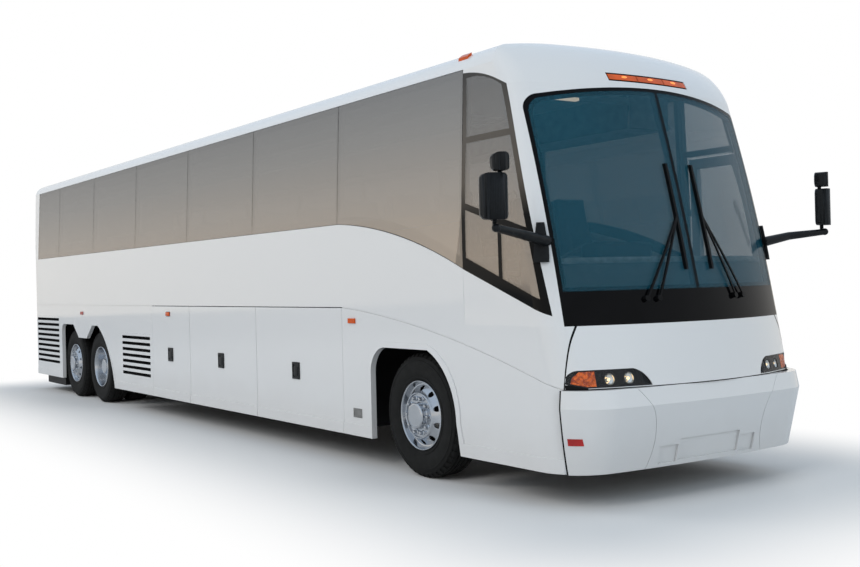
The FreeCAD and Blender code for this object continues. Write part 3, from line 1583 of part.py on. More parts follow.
head = group("mirror_head", fuse(
    "mirror_head_whole",
    housing("mirror_lower", (-s.mirror_width / 2, s.mirror_width / 2), (head_low, head_high), s.mirror_thick),
    housing("mirror_upper", (-upper_half - aside, upper_half - aside),
            (upper_low, upper_low + s.mirror_upper_height), s.mirror_thick),
    rod("mirror_neck", "z", (-s.mirror_thick / 4, zero, zero), neck_share * arm_radius,
        head_low + s.mirror_round),
    rod("mirror_link", "z", (-s.mirror_thick / 4, -aside, head_high - s.mirror_round),
        neck_share * arm_radius, s.mirror_split + 2 * s.mirror_round)))
head.Placement.Rotation = FreeCAD.Rotation(FreeCAD.Vector(0, 0, 1), sizes["mirror_turn"])
place(head, *end_spot)
mirror = fuse("mirror", *arm_parts, head)
mirror.Refine = False
piece("mirrors", both("mirrors", group("mirror_left", bracket, mirror)))

# Wipers: pivots on the lower band, two-rod arms and upright blades that follow the glass
arm_shell = wiper_shell("arm_shell", s.wiper_stand_off, wiper_away)
pivot_far = screen_form("pivot_far", wiper_away)
wiper_parts = []
for side_name, side in (("right", -1), ("left", 1)):
    pivot = (side * s.wiper_pivot_place, s.wiper_pivot_height)
    tip = (side * s.wiper_tip_place + s.wiper_tip_shift, s.wiper_tip_height)
    second = (pivot[0] - side * s.wiper_arm_spread, pivot[1])
    blade_low = tip[1] - s.wiper_blade_length / 2
    blade_high = tip[1] + s.wiper_blade_length / 2
    half = s.wiper_blade_thick / 2
    blade = common("blade_" + side_name, blade_shell, prism(
        "blade_cut_" + side_name, "front", screen_x[0], screen_x[1],
        oblong((tip[0] - half, tip[0] + half), (blade_low, blade_high))))
    arms = []
    for number, root in enumerate((pivot, second)):
        arms.append(common("wiper_arm_%s%d" % (side_name, number), arm_shell, prism(
            "wiper_cut_%s%d" % (side_name, number), "front", screen_x[0], screen_x[1],
            bar_outline(root, tip, s.wiper_arm_thick))))
        arms.append(cut(
            "wiper_pivot_%s%d" % (side_name, number),
            common("pivot_form_%s%d" % (side_name, number),
                   rod("pivot_rod_%s%d" % (side_name, number), "x", (screen_x[0], root[0], root[1]),
                       s.wiper_blade_thick, screen_x[1] - screen_x[0]), pivot_far),
            outer_nose[1]))
    wiper_parts.append(fuse("wiper_" + side_name, blade, *arms))
piece("wipers", group("wipers", *wiper_parts))

# Dash across the cab, shaped to the inside of the nose
cab_hollow = fuse("cab_hollow", inner_nose[0], inner_nose[1])
dash_back = s.dash_place
dash = common("dash", cab_hollow, block(
    "dash_block", (dash_back, half_length), (-s.dash_half_width, s.dash_half_width),
    (s.cab_floor_height, s.dash_height)))
piece("dash", dash)

# Steering wheel: ring, three spokes and a column into the dash
ring_place = (dash_back - s.wheel_ring_radius, -s.driver_place, s.dash_height + s.wheel_ring_thick)
wheel_ring = doc.addObject("Part::Torus", "wheel_ring")
bind(wheel_ring, "Radius1", s.wheel_ring_radius)
bind(wheel_ring, "Radius2", s.wheel_ring_thick)
hub = rod("wheel_hub", "z", (as_length(0), as_length(0), -2 * s.wheel_ring_thick),
          3 * s.wheel_ring_thick, 3 * s.wheel_ring_thick)
column = rod("wheel_column", "z", (as_length(0), as_length(0), -s.column_length),
             2 * s.wheel_ring_thick, s.column_length)
spokes = []
for number in range(sizes["wheel_spoke_count"]):
    spoke = block("spoke%d" % number, (as_length(0), s.wheel_ring_radius),
                  (-s.wheel_ring_thick, s.wheel_ring_thick),
                  (-s.wheel_ring_thick, as_length(0)))
    spoke_turn = number * 360 / sizes["wheel_spoke_count"]
    spoke.Placement.Rotation = FreeCAD.Rotation(FreeCAD.Vector(0, 0, 1), spoke_turn)
    spokes.append(spoke)
steering = group("steering", fuse("steering_whole", wheel_ring, hub, column, *spokes))
steering.Placement.Rotation = FreeCAD.Rotation(FreeCAD.Vector(0, 1, 0), -sizes["wheel_lean"])
place(steering, *ring_place)
piece("steering_wheel", cut("steering_wheel", steering, dash))


# Seats: leg, cushion and raked back, each seated on the next
def seat(name, rear, floor, y, back_height):
    low = floor + s.seat_cushion_height - s.seat_cushion_thick
    high = floor + s.seat_cushion_height
    ahead = rear + s.seat_back_thick
    cushion_rear = ahead + s.seat_gap
    front = ahead + s.seat_cushion_length
    edge = s.seat_cushion_thick / 2
    top = floor + back_height
    leg = oblong((ahead, ahead + s.seat_back_thick), (floor, low - s.seat_gap))
    cushion = [
        (cushion_rear, low),
        (front, low),
        via(front + edge, low + edge),
        (front, high),
        (cushion_rear, high),
    ]
    back = [
        (rear, low),
        (ahead, low),
        (ahead, high),
        (ahead - s.seat_back_rake, top - edge),
        via(rear + s.seat_back_thick / 2 - s.seat_back_rake, top),
        (rear - s.seat_back_rake, top - edge),
    ]
    return across(name, y, leg, cushion, back)


driver_y = (-s.driver_place - s.driver_seat_width / 2, -s.driver_place + s.driver_seat_width / 2)
piece("driver_seat", seat("driver_seat", s.driver_seat_rear, s.cab_floor_height, driver_y,
                          s.seat_back_height + s.seat_back_thick))
seat_rows = []
for number in range(sizes["seat_count"]):
    seat_rows.append(seat("seat%d" % number, s.seat_first_place - number * s.seat_pitch, s.deck_height,
                          (s.aisle_half_width, s.aisle_half_width + s.seat_width), s.seat_back_height))
piece("passenger_seats", both("passenger_seats", group("seat_rows", *seat_rows)))

# Parcel racks above the seats, against the window frames
rack_half = common("rack_half", hollow_form, block(
    "rack_block", (rear_seam + s.overrun, front_seam - s.overrun),
    (inner_half - s.rack_depth, half_width), (s.rack_low, s.rack_low + s.rack_thick)))
piece("parcel_racks", both("parcel_racks", rack_half))

# Write each piece to its own file
doc.recompute()
for item in doc.Objects:
    if "Invalid" in item.State or "Error" in item.State:
        raise RuntimeError("object failed: " + item.Name)
os.makedirs("parts", exist_ok=True)
for item in pieces:
    shape = item.Shape
    if shape.isNull() or not shape.isValid() or not shape.Solids:
        raise RuntimeError("bad shape: " + item.Label)
    shape.exportStep("parts/%s.step" % item.Label)
    print("%-20s solids %d volume %.4f m3" % (item.Label, len(shape.Solids), shape.Volume / 1e9))
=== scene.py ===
import json
import math

import bpy
from mathutils import Matrix, Vector

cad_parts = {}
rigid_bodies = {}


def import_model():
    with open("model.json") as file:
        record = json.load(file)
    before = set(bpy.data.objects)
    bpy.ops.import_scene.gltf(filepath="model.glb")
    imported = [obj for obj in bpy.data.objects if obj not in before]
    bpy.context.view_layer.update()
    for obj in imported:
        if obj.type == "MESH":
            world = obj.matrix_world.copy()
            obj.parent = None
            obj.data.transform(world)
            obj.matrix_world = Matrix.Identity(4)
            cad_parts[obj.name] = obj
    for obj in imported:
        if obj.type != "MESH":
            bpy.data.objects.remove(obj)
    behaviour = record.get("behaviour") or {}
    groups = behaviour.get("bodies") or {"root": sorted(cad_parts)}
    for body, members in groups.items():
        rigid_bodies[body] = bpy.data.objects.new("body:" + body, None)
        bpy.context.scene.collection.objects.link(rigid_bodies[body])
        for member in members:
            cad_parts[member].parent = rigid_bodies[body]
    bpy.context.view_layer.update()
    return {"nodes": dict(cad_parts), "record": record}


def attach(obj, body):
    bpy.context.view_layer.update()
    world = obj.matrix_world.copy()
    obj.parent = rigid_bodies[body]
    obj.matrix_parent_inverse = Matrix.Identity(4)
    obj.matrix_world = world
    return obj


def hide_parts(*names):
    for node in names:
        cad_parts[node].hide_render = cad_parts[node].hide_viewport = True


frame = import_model()
nodes = frame["nodes"]
print("frame loaded,", len(nodes), "nodes")

sides = ((-1, "right"), (1, "left"))


# camera, at the photographer's place
cameraSetup = {
    "place": (12.3432, -6.3832, 1.6501),
    "yaw": 145.131,      # degrees from +X
    "pitch": -0.026,
    "roll": -1.406,
    "focalPixels": 1082.03,
    "imageWidth": 860,
    "sensor": 36.0,
    "farthest": 200,
}


def addCamera(setup):
    data = bpy.data.cameras.new("photoCamera")
    camera = bpy.data.objects.new("photoCamera", data)
    bpy.context.scene.collection.objects.link(camera)
    data.sensor_width = setup["sensor"]
    data.lens = setup["sensor"] * setup["focalPixels"] / setup["imageWidth"]
    data.clip_end = setup["farthest"]
    yaw = math.radians(setup["yaw"])
    pitch = math.radians(setup["pitch"])
    roll = math.radians(setup["roll"])
    forward = Vector((math.cos(yaw) * math.cos(pitch), math.sin(yaw) * math.cos(pitch), math.sin(pitch)))
    right = Vector((math.sin(yaw), -math.cos(yaw), 0))
    up = right.cross(forward)
    tiltedRight = math.cos(roll) * right + math.sin(roll) * up
    tiltedUp = -math.sin(roll) * right + math.cos(roll) * up
    turn = Matrix((tiltedRight, tiltedUp, -forward)).transposed().to_4x4()
    camera.matrix_world = Matrix.Translation(setup["place"]) @ turn
    bpy.context.scene.camera = camera


addCamera(cameraSetup)


# node helpers
def setInputs(tree, node, values):
    # an output of another node is linked, and any other value is set on the node itself
    for key, value in values.items():
        if isinstance(value, bpy.types.NodeSocket):
            tree.links.new(value, node.inputs[key])
        else:
            node.inputs[key].default_value = value


def addNode(tree, kind, values=None, **settings):
    node = tree.nodes.new("ShaderNode" + kind)
    for key, value in settings.items():
        setattr(node, key, value)
    setInputs(tree, node, values or {})
    return node


def mathNode(tree, kind, first, second=0):
    return addNode(tree, "Math", {0: first, 1: second}, operation=kind).outputs[0]


def rampOn(tree, source, stops):
    ramp = addNode(tree, "ValToRGB", {"Fac": source})
    elements = ramp.color_ramp.elements
    elements[0].position, elements[0].color = stops[0]
    elements[1].position, elements[1].color = stops[-1]
    for position, color in stops[1:-1]:
        elements.new(position).color = color
    return ramp.outputs["Color"]


def objectCoords(tree):
    return addNode(tree, "TexCoord").outputs["Object"]


def noiseOn(tree, scale, detail):
    noise = addNode(tree, "TexNoise", {"Vector": objectCoords(tree), "Scale": scale, "Detail": detail})
    return noise.outputs["Fac"]


def heightShare(tree, low, high):
    # 0 at the low height, 1 at the high one
    height = addNode(tree, "SeparateXYZ", {0: objectCoords(tree)}).outputs["Z"]
    return addNode(tree, "MapRange", {"Value": height, "From Min": low, "From Max": high}).outputs["Result"]


def scaled(color, factor):
    return tuple(min(1, factor * part) for part in color[:3]) + (1,)


def twoShades(tree, scale, detail, first, last, stops=(0.3, 0.7)):
    # a colour that wanders from one shade to the other
    return rampOn(tree, noiseOn(tree, scale, detail), [(stops[0], first), (stops[1], last)])


def bumpFrom(tree, height, strength, distance):
    bump = addNode(tree, "Bump", {"Height": height, "Strength": strength, "Distance": distance})
    return bump.outputs["Normal"]


def newMaterial(name):
    material = bpy.data.materials.new(name)
    material.use_nodes = True
    return material, material.node_tree, material.node_tree.nodes["Principled BSDF"]


# studio: pale floor, pale sky and four soft lamps
studio = {
    "floorSize": 120,
    "floorColor": (0.62, 0.62, 0.62, 1),
    "floorSeen": (0.80, 0.795, 0.785, 1),
    "shadowBox": (6.9, 1.3),     # half length and half width of the coach
    "shadowReach": (0.2, 2.3),   # where the floor starts to fade to white, and where it is white
    "skyLow": (0.94, 0.89, 0.82, 1),
    "skyHigh": (0.64, 0.75, 0.88, 1),
    "skyHighFrom": 0.5,
    "skyStrength": 0.62,
    "skyMirrored": 1.0,          # strength that glass and gloss mirror
    "lamps": [                   # name, place, size, power, colour
        ("keyLamp", (10, -18, 12), 9, 1250, (1.0, 0.985, 0.96)),
        ("frontLamp", (22, 2, 9), 8, 620, (0.80, 0.92, 1.0)),
        ("backLamp", (-12, -14, 14), 9, 900, (1.0, 0.99, 0.97)),
        ("leftLamp", (-3, 18, 12), 9, 800, (1.0, 0.99, 0.97)),
    ],
    "aim": (0, 0, 1.5),
}


def addSky(setup):
    # white to the eye, and a sky that is warm at the foot and blue above for light and reflections
    world = bpy.data.worlds.new("softSky")
    bpy.context.scene.world = world
    world.use_nodes = True
    tree = world.node_tree
    tree.nodes.clear()
    path = addNode(tree, "LightPath").outputs
    height = addNode(tree, "SeparateXYZ", {0: addNode(tree, "TexCoord").outputs["Generated"]}).outputs["Z"]
    color = rampOn(tree, height, [(0, setup["skyLow"]), (setup["skyHighFrom"], setup["skyHigh"])])
    more = mathNode(tree, "MULTIPLY", path["Is Glossy Ray"], setup["skyMirrored"] - setup["skyStrength"])
    strength = mathNode(tree, "ADD", more, setup["skyStrength"])
    sky = addNode(tree, "Background", {"Color": color, "Strength": strength}).outputs[0]
    white = addNode(tree, "Background", {"Color": (1, 1, 1, 1), "Strength": 1}).outputs[0]
    blend = addNode(tree, "MixShader", {0: path["Is Camera Ray"], 1: sky, 2: white})
    addNode(tree, "OutputWorld", {"Surface": blend.outputs[0]})


def addLamps(setup):
    for name, place, size, power, color in setup["lamps"]:
        data = bpy.data.lights.new(name, "AREA")
        data.energy = power
        data.size = size
        data.color = color
        lamp = bpy.data.objects.new(name, data)
        lamp.visible_glossy = False      # glass and black trim mirror the plain sky alone
        bpy.context.scene.collection.objects.link(lamp)
        lamp.location = place
        aim = Vector(setup["aim"]) - Vector(place)
        lamp.rotation_euler = aim.to_track_quat("-Z", "Y").to_euler()


def floorMaterial(setup):
    # pale to the eye and in reflections, plain grey-white for the light it throws back
    material = bpy.data.materials.new("studioFloorWhite")
    material.use_nodes = True
    tree = material.node_tree
    tree.nodes.clear()
    path = addNode(tree, "LightPath").outputs
    seen = mathNode(tree, "MAXIMUM", path["Is Camera Ray"], path["Is Glossy Ray"])
    seen = mathNode(tree, "MAXIMUM", seen, path["Is Transmission Ray"])
    color = addNode(tree, "Mix", {0: seen, 6: setup["floorColor"], 7: setup["floorSeen"]}, data_type="RGBA")
    shader = addNode(tree, "BsdfDiffuse", {"Color": color.outputs[2]})
    # away from the coach the seen floor fades to plain white, and the shadow near it stays
    place = addNode(tree, "SeparateXYZ", {0: objectCoords(tree)}).outputs
    gaps = []
    for axis, half in zip("XY", setup["shadowBox"]):
        past = mathNode(tree, "SUBTRACT", mathNode(tree, "ABSOLUTE", place[axis]), half)
        gaps.append(mathNode(tree, "POWER", mathNode(tree, "MAXIMUM", past, 0), 2))
    reach = mathNode(tree, "SQRT", mathNode(tree, "ADD", gaps[0], gaps[1]))
    near, far = setup["shadowReach"]
    fade = addNode(tree, "MapRange", {"Value": reach, "From Min": near, "From Max": far},
                   interpolation_type="SMOOTHSTEP")
    share = mathNode(tree, "MULTIPLY", fade.outputs["Result"], path["Is Camera Ray"])
    plain = addNode(tree, "Emission")
    blend = addNode(tree, "MixShader", {0: share, 1: shader.outputs[0], 2: plain.outputs[0]})
    addNode(tree, "OutputMaterial", {"Surface": blend.outputs[0]})
    return material


def addFloor(setup):
    bpy.ops.mesh.primitive_plane_add(size=setup["floorSize"], location=(0, 0, 0))
    floor = bpy.context.object
    floor.name = "studioFloor"
    floor.data.materials.append(floorMaterial(setup))


# white paint under clear coat, darker near the road: painted shade of the low panels mixed with a faint dust
# mottle
paintLook = {
    "clean": (0.76, 0.765, 0.765, 1),
    "shadedDusty": (0.68, 0.675, 0.665, 1),
    "shadeDustHeights": (0.2, 0.9),
    "shadeDustScale": 3.0,
    "shadeDustWander": 0.5,
    "shadeDustStops": (0.15, 0.9),
    "roughness": 0.32,
    "coat": 1.0,
    "coatRoughness": 0.05,
    "peelScale": 45,
    "peelStrength": 0.02,
    "peelDepth": 0.002,
}


def makePaint(look):
    material, tree, shader = newMaterial("whiteCoachPaint")
    # the darker foot is painted shade of the low panels, with some dust, mottled by noise
    share = heightShare(tree, *look["shadeDustHeights"])
    wander = noiseOn(tree, look["shadeDustScale"], 4)
    spread = addNode(tree, "Math", {0: wander, 1: look["shadeDustWander"], 2: share}, operation="MULTIPLY_ADD")
    low, high = look["shadeDustStops"]
    peel = noiseOn(tree, look["peelScale"], 1)
    setInputs(tree, shader, {
        "Base Color": rampOn(tree, spread.outputs[0], [(low, look["shadedDusty"]), (high, look["clean"])]),
        "Normal": bumpFrom(tree, peel, look["peelStrength"], look["peelDepth"]),
        "Roughness": look["roughness"],
        "Coat Weight": look["coat"],
        "Coat Roughness": look["coatRoughness"],
    })
    return material


# side glass: dark bronze, with a painted reflection of the pale low sky: lighter tan at the foot, fading to
# dark at the top
sideGlassLook = {
    "stops": [
        (0.0, (0.42, 0.31, 0.21, 1)),
        (0.35, (0.29, 0.235, 0.18, 1)),
        (0.7, (0.15, 0.14, 0.125, 1)),
        (1.0, (0.055, 0.057, 0.060, 1)),
    ],
    "reflectionHeights": (1.9, 3.35),
    "waveScale": 1.3,
    "waveStrength": 0.04,
    "waveDepth": 0.01,
    "roughness": 0.06,
    "gloss": 1.0,
    "ior": 2.1,
    "alpha": 0.74,
}
cabGlassLook = dict(sideGlassLook, alpha=0.45)
cabGlassFrom = 5.45              # panes ahead of this place have the lighter tint
# the cab's posts and rails: black at the foot, and above it the glass's painted sky reflection, bronze fading
# to dark at the top
cabFrameLook = dict(sideGlassLook, gloss=0.15, ior=1.45, alpha=1.0, stops=[
    (0.0, (0.002, 0.002, 0.002, 1)),
    (0.16, (0.003, 0.003, 0.003, 1)),
    (0.36, (0.105, 0.088, 0.070, 1)),
    (0.65, (0.110, 0.098, 0.085, 1)),
    (1.0, (0.045, 0.045, 0.045, 1)),
])


def makeSideGlass(name, look):
    material, tree, shader = newMaterial(name)
    # the colour ramp by height is a painted sky reflection, not the glass's own tint
    share = heightShare(tree, *look["reflectionHeights"])
    wave = noiseOn(tree, look["waveScale"], 1)
    setInputs(tree, shader, {
        "Base Color": rampOn(tree, share, look["stops"]),
        "Normal": bumpFrom(tree, wave, look["waveStrength"], look["waveDepth"]),
        "Roughness": look["roughness"],
        "Specular IOR Level": look["gloss"],
        "IOR": look["ior"],
        "Alpha": look["alpha"],
    })
    return material


def makeSeenThrough(name, color, alpha, roughness=0.03, gloss=0.5, scale=30, wander=(0.92, 1)):
    # clear or tinted, its colour between two shares of the one given
    material, tree, shader = newMaterial(name)
    setInputs(tree, shader, {
        "Base Color": twoShades(tree, scale, 1, scaled(color, wander[0]), scaled(color, wander[1])),
        "Roughness": roughness,
        "Specular IOR Level": gloss,
        "Alpha": alpha,
    })
    return material


def makeGlow(name, color, strength, roughness=0.2, scale=90, wander=0.8):
    material, tree, shader = newMaterial(name)
    shade = twoShades(tree, scale, 2, scaled(color, wander), color)
    setInputs(tree, shader, {
        "Base Color": shade,
        "Emission Color": shade,
        "Emission Strength": strength,
        "Roughness": roughness,
    })
    return material


def makeGrained(name, color, roughness, scale, strength, distance=0.001, spread=0.25, metallic=0, gloss=0.5):
    # one colour that wanders a little, with a fine grain
    material, tree, shader = newMaterial(name)
    wanderScale = scale / 12
    grain = noiseOn(tree, scale, 2)
    setInputs(tree, shader, {
        "Base Color": twoShades(tree, wanderScale, 3, scaled(color, 1 - spread), scaled(color, 1 + spread)),
        "Normal": bumpFrom(tree, grain, strength, distance),
        "Roughness": roughness,
        "Metallic": metallic,
        "Specular IOR Level": gloss,
    })
    return material


paint = makePaint(paintLook)
sideGlass = makeSideGlass("bronzeSideGlass", sideGlassLook)
cabGlass = makeSideGlass("bronzeCabGlass", cabGlassLook)
cabFrameGloss = makeSideGlass("cabFrameGloss", cabFrameLook)
screenGlass = makeSeenThrough("tealScreenGlass", (0.006, 0.095, 0.145, 1), 0.44, 0.03, 0.35, 1.1, (0.9, 1.1))
blackRubber = makeGrained("blackGasket", (0.004, 0.004, 0.0045, 1), 0.4, 220, 0.1, gloss=0.12)
bandGloss = makeGrained("blackBandGloss", (0.002, 0.002, 0.0025, 1), 0.1, 60, 0.01, gloss=0.1)
blackPlastic = makeGrained("grainedBlackPlastic", (0.006, 0.007, 0.008, 1), 0.4, 400, 0.2, 0.0006, gloss=0.2)
dashPlastic = makeGrained("softGreyDash", (0.10, 0.115, 0.12, 1), 0.6, 300, 0.25, 0.0006)
deckVinyl = makeGrained("darkDeckVinyl", (0.10, 0.10, 0.105, 1), 0.6, 180, 0.3)
frameSteel = makeGrained("blackChassisPaint", (0.012, 0.012, 0.013, 1), 0.55, 90, 0.3, gloss=0.2)
castIron = makeGrained("darkCasting", (0.06, 0.06, 0.062, 1), 0.6, 160, 0.6, 0.002, 0.3, 0.6)
bellowsRubber = makeGrained("bellowsRubber", (0.02, 0.02, 0.02, 1), 0.7, 150, 0.3)
tyreRubber = makeGrained("tyreRubber", (0.010, 0.010, 0.0095, 1), 0.75, 240, 0.35, gloss=0.2)
rackLaminate = makeGrained("paleRackLaminate", (0.42, 0.42, 0.41, 1), 0.5, 120, 0.15)
seatCloth = makeGrained("blueGreySeatCloth", (0.055, 0.07, 0.11, 1), 0.9, 500, 0.6)
polishedAlloy = makeGrained("polishedAlloy", (0.50, 0.52, 0.55, 1), 0.20, 80, 0.03, 0.001, 0.06, 1)
amberLens = makeGrained("amberLens", (0.62, 0.085, 0.004, 1), 0.12, 60, 0.1, spread=0.35, gloss=0.3)
redLens = makeGrained("redLens", (0.42, 0.012, 0.01, 1), 0.12, 60, 0.1)
lampBlack = makeGrained("lampHousingBlack", (0.002, 0.002, 0.0025, 1), 0.15, 60, 0.02, gloss=0.1)
# near-black for the slot backs and louvre liners: painted shade inside the open slots
slotShadeBlack = makeGrained("slotShadeBlack", (0.004, 0.004, 0.004, 1), 0.95, 200, 0.3, gloss=0.1)

slotLooks = {
    "body paint": paint,
    "black trim": blackRubber,
    "black plastic": blackPlastic,
    "dash plastic": dashPlastic,
    "lamp lens": lampBlack,
    "amber lens": amberLens,
    "red lens": redLens,
    "screen glass": screenGlass,
    "side glass": sideGlass,
    "deck": deckVinyl,
    "frame steel": frameSteel,
    "engine iron": castIron,
    "axle iron": castIron,
    "spring rubber": bellowsRubber,
    "seat fabric": seatCloth,
    "rack plastic": rackLaminate,
    "tyre": tyreRubber,
    "polished alloy": polishedAlloy,
}
louvreSkin = 1.2945              # louvre faces nearer the middle than this are the backs of the slots, painted near-black as shade
rearMarkersTo = -4.0             # marker lamps behind this place are red


def dressNode(node, material):
    obj = nodes[node]
    obj.data.materials.clear()
    obj.data.materials.append(material)


def dressFaces(node, material, test):
    # a second material on the node's faces whose middle passes the test
    obj = nodes[node]
    obj.data.materials.append(material)
    for face in obj.data.polygons:
        if test(face.center):
            face.material_index = 1


for row in frame["record"]["subparts"]:
    dressNode(row["node"], slotLooks[row["material_slot"]])
dressNode("windshield_frame", bandGloss)
dressNode("entrance_glass", cabGlass)
dressNode("cab_window_frames", cabFrameGloss)
dressFaces("side_glass", cabGlass, lambda middle: middle.x > cabGlassFrom)
# slot backs painted near-black as shade
dressFaces("louvres", slotShadeBlack, lambda middle: abs(middle.y) < louvreSkin)
dressFaces("marker_lamps", redLens, lambda middle: middle.x < rearMarkersTo)
addSky(studio)
addLamps(studio)
addFloor(studio)
print("materials and studio done")


# modelling helpers, each one working on what it has just selected
mergeGap = 0.00002


def freeAll():
    if bpy.context.object is not None and bpy.context.object.mode != "OBJECT":
        bpy.ops.object.mode_set(mode="OBJECT")
    bpy.ops.object.select_all(action="DESELECT")


def takeOnly(obj):
    freeAll()
    obj.select_set(True)
    bpy.context.view_layer.objects.active = obj


def settle(obj):
    takeOnly(obj)
    bpy.ops.object.transform_apply(location=True, rotation=True, scale=True)


def moveTo(obj, place):
    obj.location = place
    settle(obj)


def justMade(name):
    # names the primitive that was added last and applies its place
    obj = bpy.context.object
    obj.name = name
    settle(obj)
    return obj


def applyModifier(obj, kind, **settings):
    modifier = obj.modifiers.new(kind.lower(), kind)
    for key, value in settings.items():
        setattr(modifier, key, value)
    takeOnly(obj)
    bpy.ops.object.modifier_apply(modifier=modifier.name)


def editAll(obj):
    # edit mode with everything selected
    takeOnly(obj)
    bpy.ops.object.mode_set(mode="EDIT")
    bpy.ops.mesh.select_all(action="SELECT")


def pickFaces(obj, test):
    # selects the faces whose centre and normal pass the test, and goes on in edit mode
    editAll(obj)
    bpy.ops.mesh.select_mode(type="FACE")
    bpy.ops.mesh.select_all(action="DESELECT")
    bpy.ops.object.mode_set(mode="OBJECT")
    for face in obj.data.polygons:
        face.select = bool(test(face.center, face.normal))
    bpy.ops.object.mode_set(mode="EDIT")


def extrudeBy(step):
    bpy.ops.mesh.extrude_region_move(TRANSFORM_OT_translate={"value": step})


def mergeAll():
    bpy.ops.mesh.select_all(action="SELECT")
    bpy.ops.mesh.remove_doubles(threshold=mergeGap)


def leaveEdit():
    bpy.ops.object.mode_set(mode="OBJECT")


def closeUp():
    # doubles merged and faces turned outwards, then out of edit mode
    mergeAll()
    bpy.ops.mesh.normals_make_consistent(inside=False)
    leaveEdit()


def drawLine(name, points):
    # one corner of a small plane, pulled from point to point
    freeAll()
    bpy.ops.mesh.primitive_plane_add(size=0.01, location=points[0])
    obj = justMade(name)
    editAll(obj)
    bpy.ops.mesh.select_mode(type="VERT")
    bpy.ops.mesh.select_all(action="SELECT")
    bpy.ops.mesh.merge(type="CENTER")
    for start, end in zip(points, points[1:]):
        step = [b - a for a, b in zip(start, end)]
        bpy.ops.mesh.extrude_vertices_move(TRANSFORM_OT_translate={"value": step})
    leaveEdit()
    return obj


def spinProfile(name, profile, steps, closed=False):
    # profile of (radius, across) pairs turned about the Y axis
    points = [(radius, across, 0) for radius, across in profile]
    if closed:
        points.append(points[0])
    obj = drawLine(name, points)
    editAll(obj)
    bpy.ops.mesh.spin(steps=steps, angle=2 * math.pi, center=(0, 0, 0), axis=(0, 1, 0))
    closeUp()
    return obj


def addBox(name, low, high):
    # a plain block, bevelled later or used to cut other pieces
    freeAll()
    bpy.ops.mesh.primitive_cube_add(size=1, location=[(a + b) / 2 for a, b in zip(low, high)])
    bpy.context.object.scale = [b - a for a, b in zip(low, high)]
    return justMade(name)


def roundedBox(name, low, high, bevel, segments=2):
    obj = addBox(name, low, high)
    applyModifier(obj, "BEVEL", width=bevel, segments=segments, limit_method="NONE")
    return obj


def onSide(side, low, high):
    # a box given on the left, for either side
    near, far = sorted((side * low[1], side * high[1]))
    return (low[0], near, low[2]), (high[0], far, high[2])


def addSphere(name, radius, rings, place=(0, 0, 0), scale=(1, 1, 1)):
    freeAll()
    bpy.ops.mesh.primitive_uv_sphere_add(segments=16, ring_count=rings, radius=radius, location=place)
    bpy.context.object.scale = scale
    return justMade(name)


def addDrill(radius, depth, sidesCount, place, turn):
    # a plain rod that cuts a round hole and is then taken away
    freeAll()
    bpy.ops.mesh.primitive_cylinder_add(vertices=sidesCount, radius=radius, depth=depth, location=place,
                                        rotation=[math.radians(angle) for angle in turn])
    return justMade("drill")


def placedCopy(obj, name, place=(0, 0, 0), turn=0):
    takeOnly(obj)
    bpy.ops.object.duplicate()
    copy = bpy.context.object
    copy.name = name
    copy.rotation_euler.z = math.radians(turn)
    moveTo(copy, place)
    return copy


def mirroredCopy(obj, name):
    # the same piece on the other side of the coach
    takeOnly(obj)
    bpy.ops.object.duplicate()
    bpy.context.object.scale = (1, -1, 1)
    copy = justMade(name)
    editAll(copy)
    closeUp()
    return copy


def joinAll(name, objs):
    freeAll()
    for obj in objs:
        obj.select_set(True)
    bpy.context.view_layer.objects.active = objs[0]
    bpy.ops.object.join()
    objs[0].name = name
    return objs[0]


def copyNode(node, name):
    obj = bpy.data.objects.new(name, nodes[node].data.copy())
    bpy.context.scene.collection.objects.link(obj)
    editAll(obj)
    mergeAll()
    leaveEdit()
    return obj


def keepInside(obj, cutter, operation="INTERSECT"):
    applyModifier(obj, "BOOLEAN", object=cutter, operation=operation, solver="EXACT")
    bpy.data.objects.remove(cutter)


def skinPatch(node, name, proud, low, high):
    # what a box holds of a node's skin, grown by a little
    patch = copyNode(node, name)
    applyModifier(patch, "DISPLACE", strength=proud, mid_level=0)
    keepInside(patch, addBox("patchRegion", low, high))
    return patch


def finishPiece(obj, material, angle=40, body="coach body", standsFor=None):
    takeOnly(obj)
    obj.data.materials.clear()
    obj.data.materials.append(material)
    bpy.ops.object.shade_smooth_by_angle(angle=math.radians(angle))
    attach(obj, body)
    if standsFor:
        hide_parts(standsFor)


# tyres: ribbed tread, notched shoulders and a moulded sidewall
tyreShape = {
    "profile": [
        (0.296, 0.150), (0.296, 0.030), (0.303, 0.017), (0.318, 0.012), (0.321, 0.008), (0.331, 0.008),
        (0.334, 0.012), (0.352, 0.007), (0.385, 0.0015), (0.425, 0.0005), (0.455, 0.003), (0.458, 0.0005),
        (0.464, 0.0005), (0.467, 0.005), (0.488, 0.012), (0.490, 0.010), (0.495, 0.012), (0.498, 0.018),
        (0.512, 0.028), (0.523, 0.038), (0.528, 0.050),
    ],
    "grooves": [0.083, 0.124, 0.167, 0.208],
    "grooveWidth": 0.009,
    "grooveFloorShare": 0.6,
    "grooveDepth": 0.013,
    "treadRadius": 0.530,
    "width": 0.300,
    "steps": 96,
    "notchEvery": 2,
    "notchRadii": (0.500, 0.527),
    "notchDepth": 0.007,
}


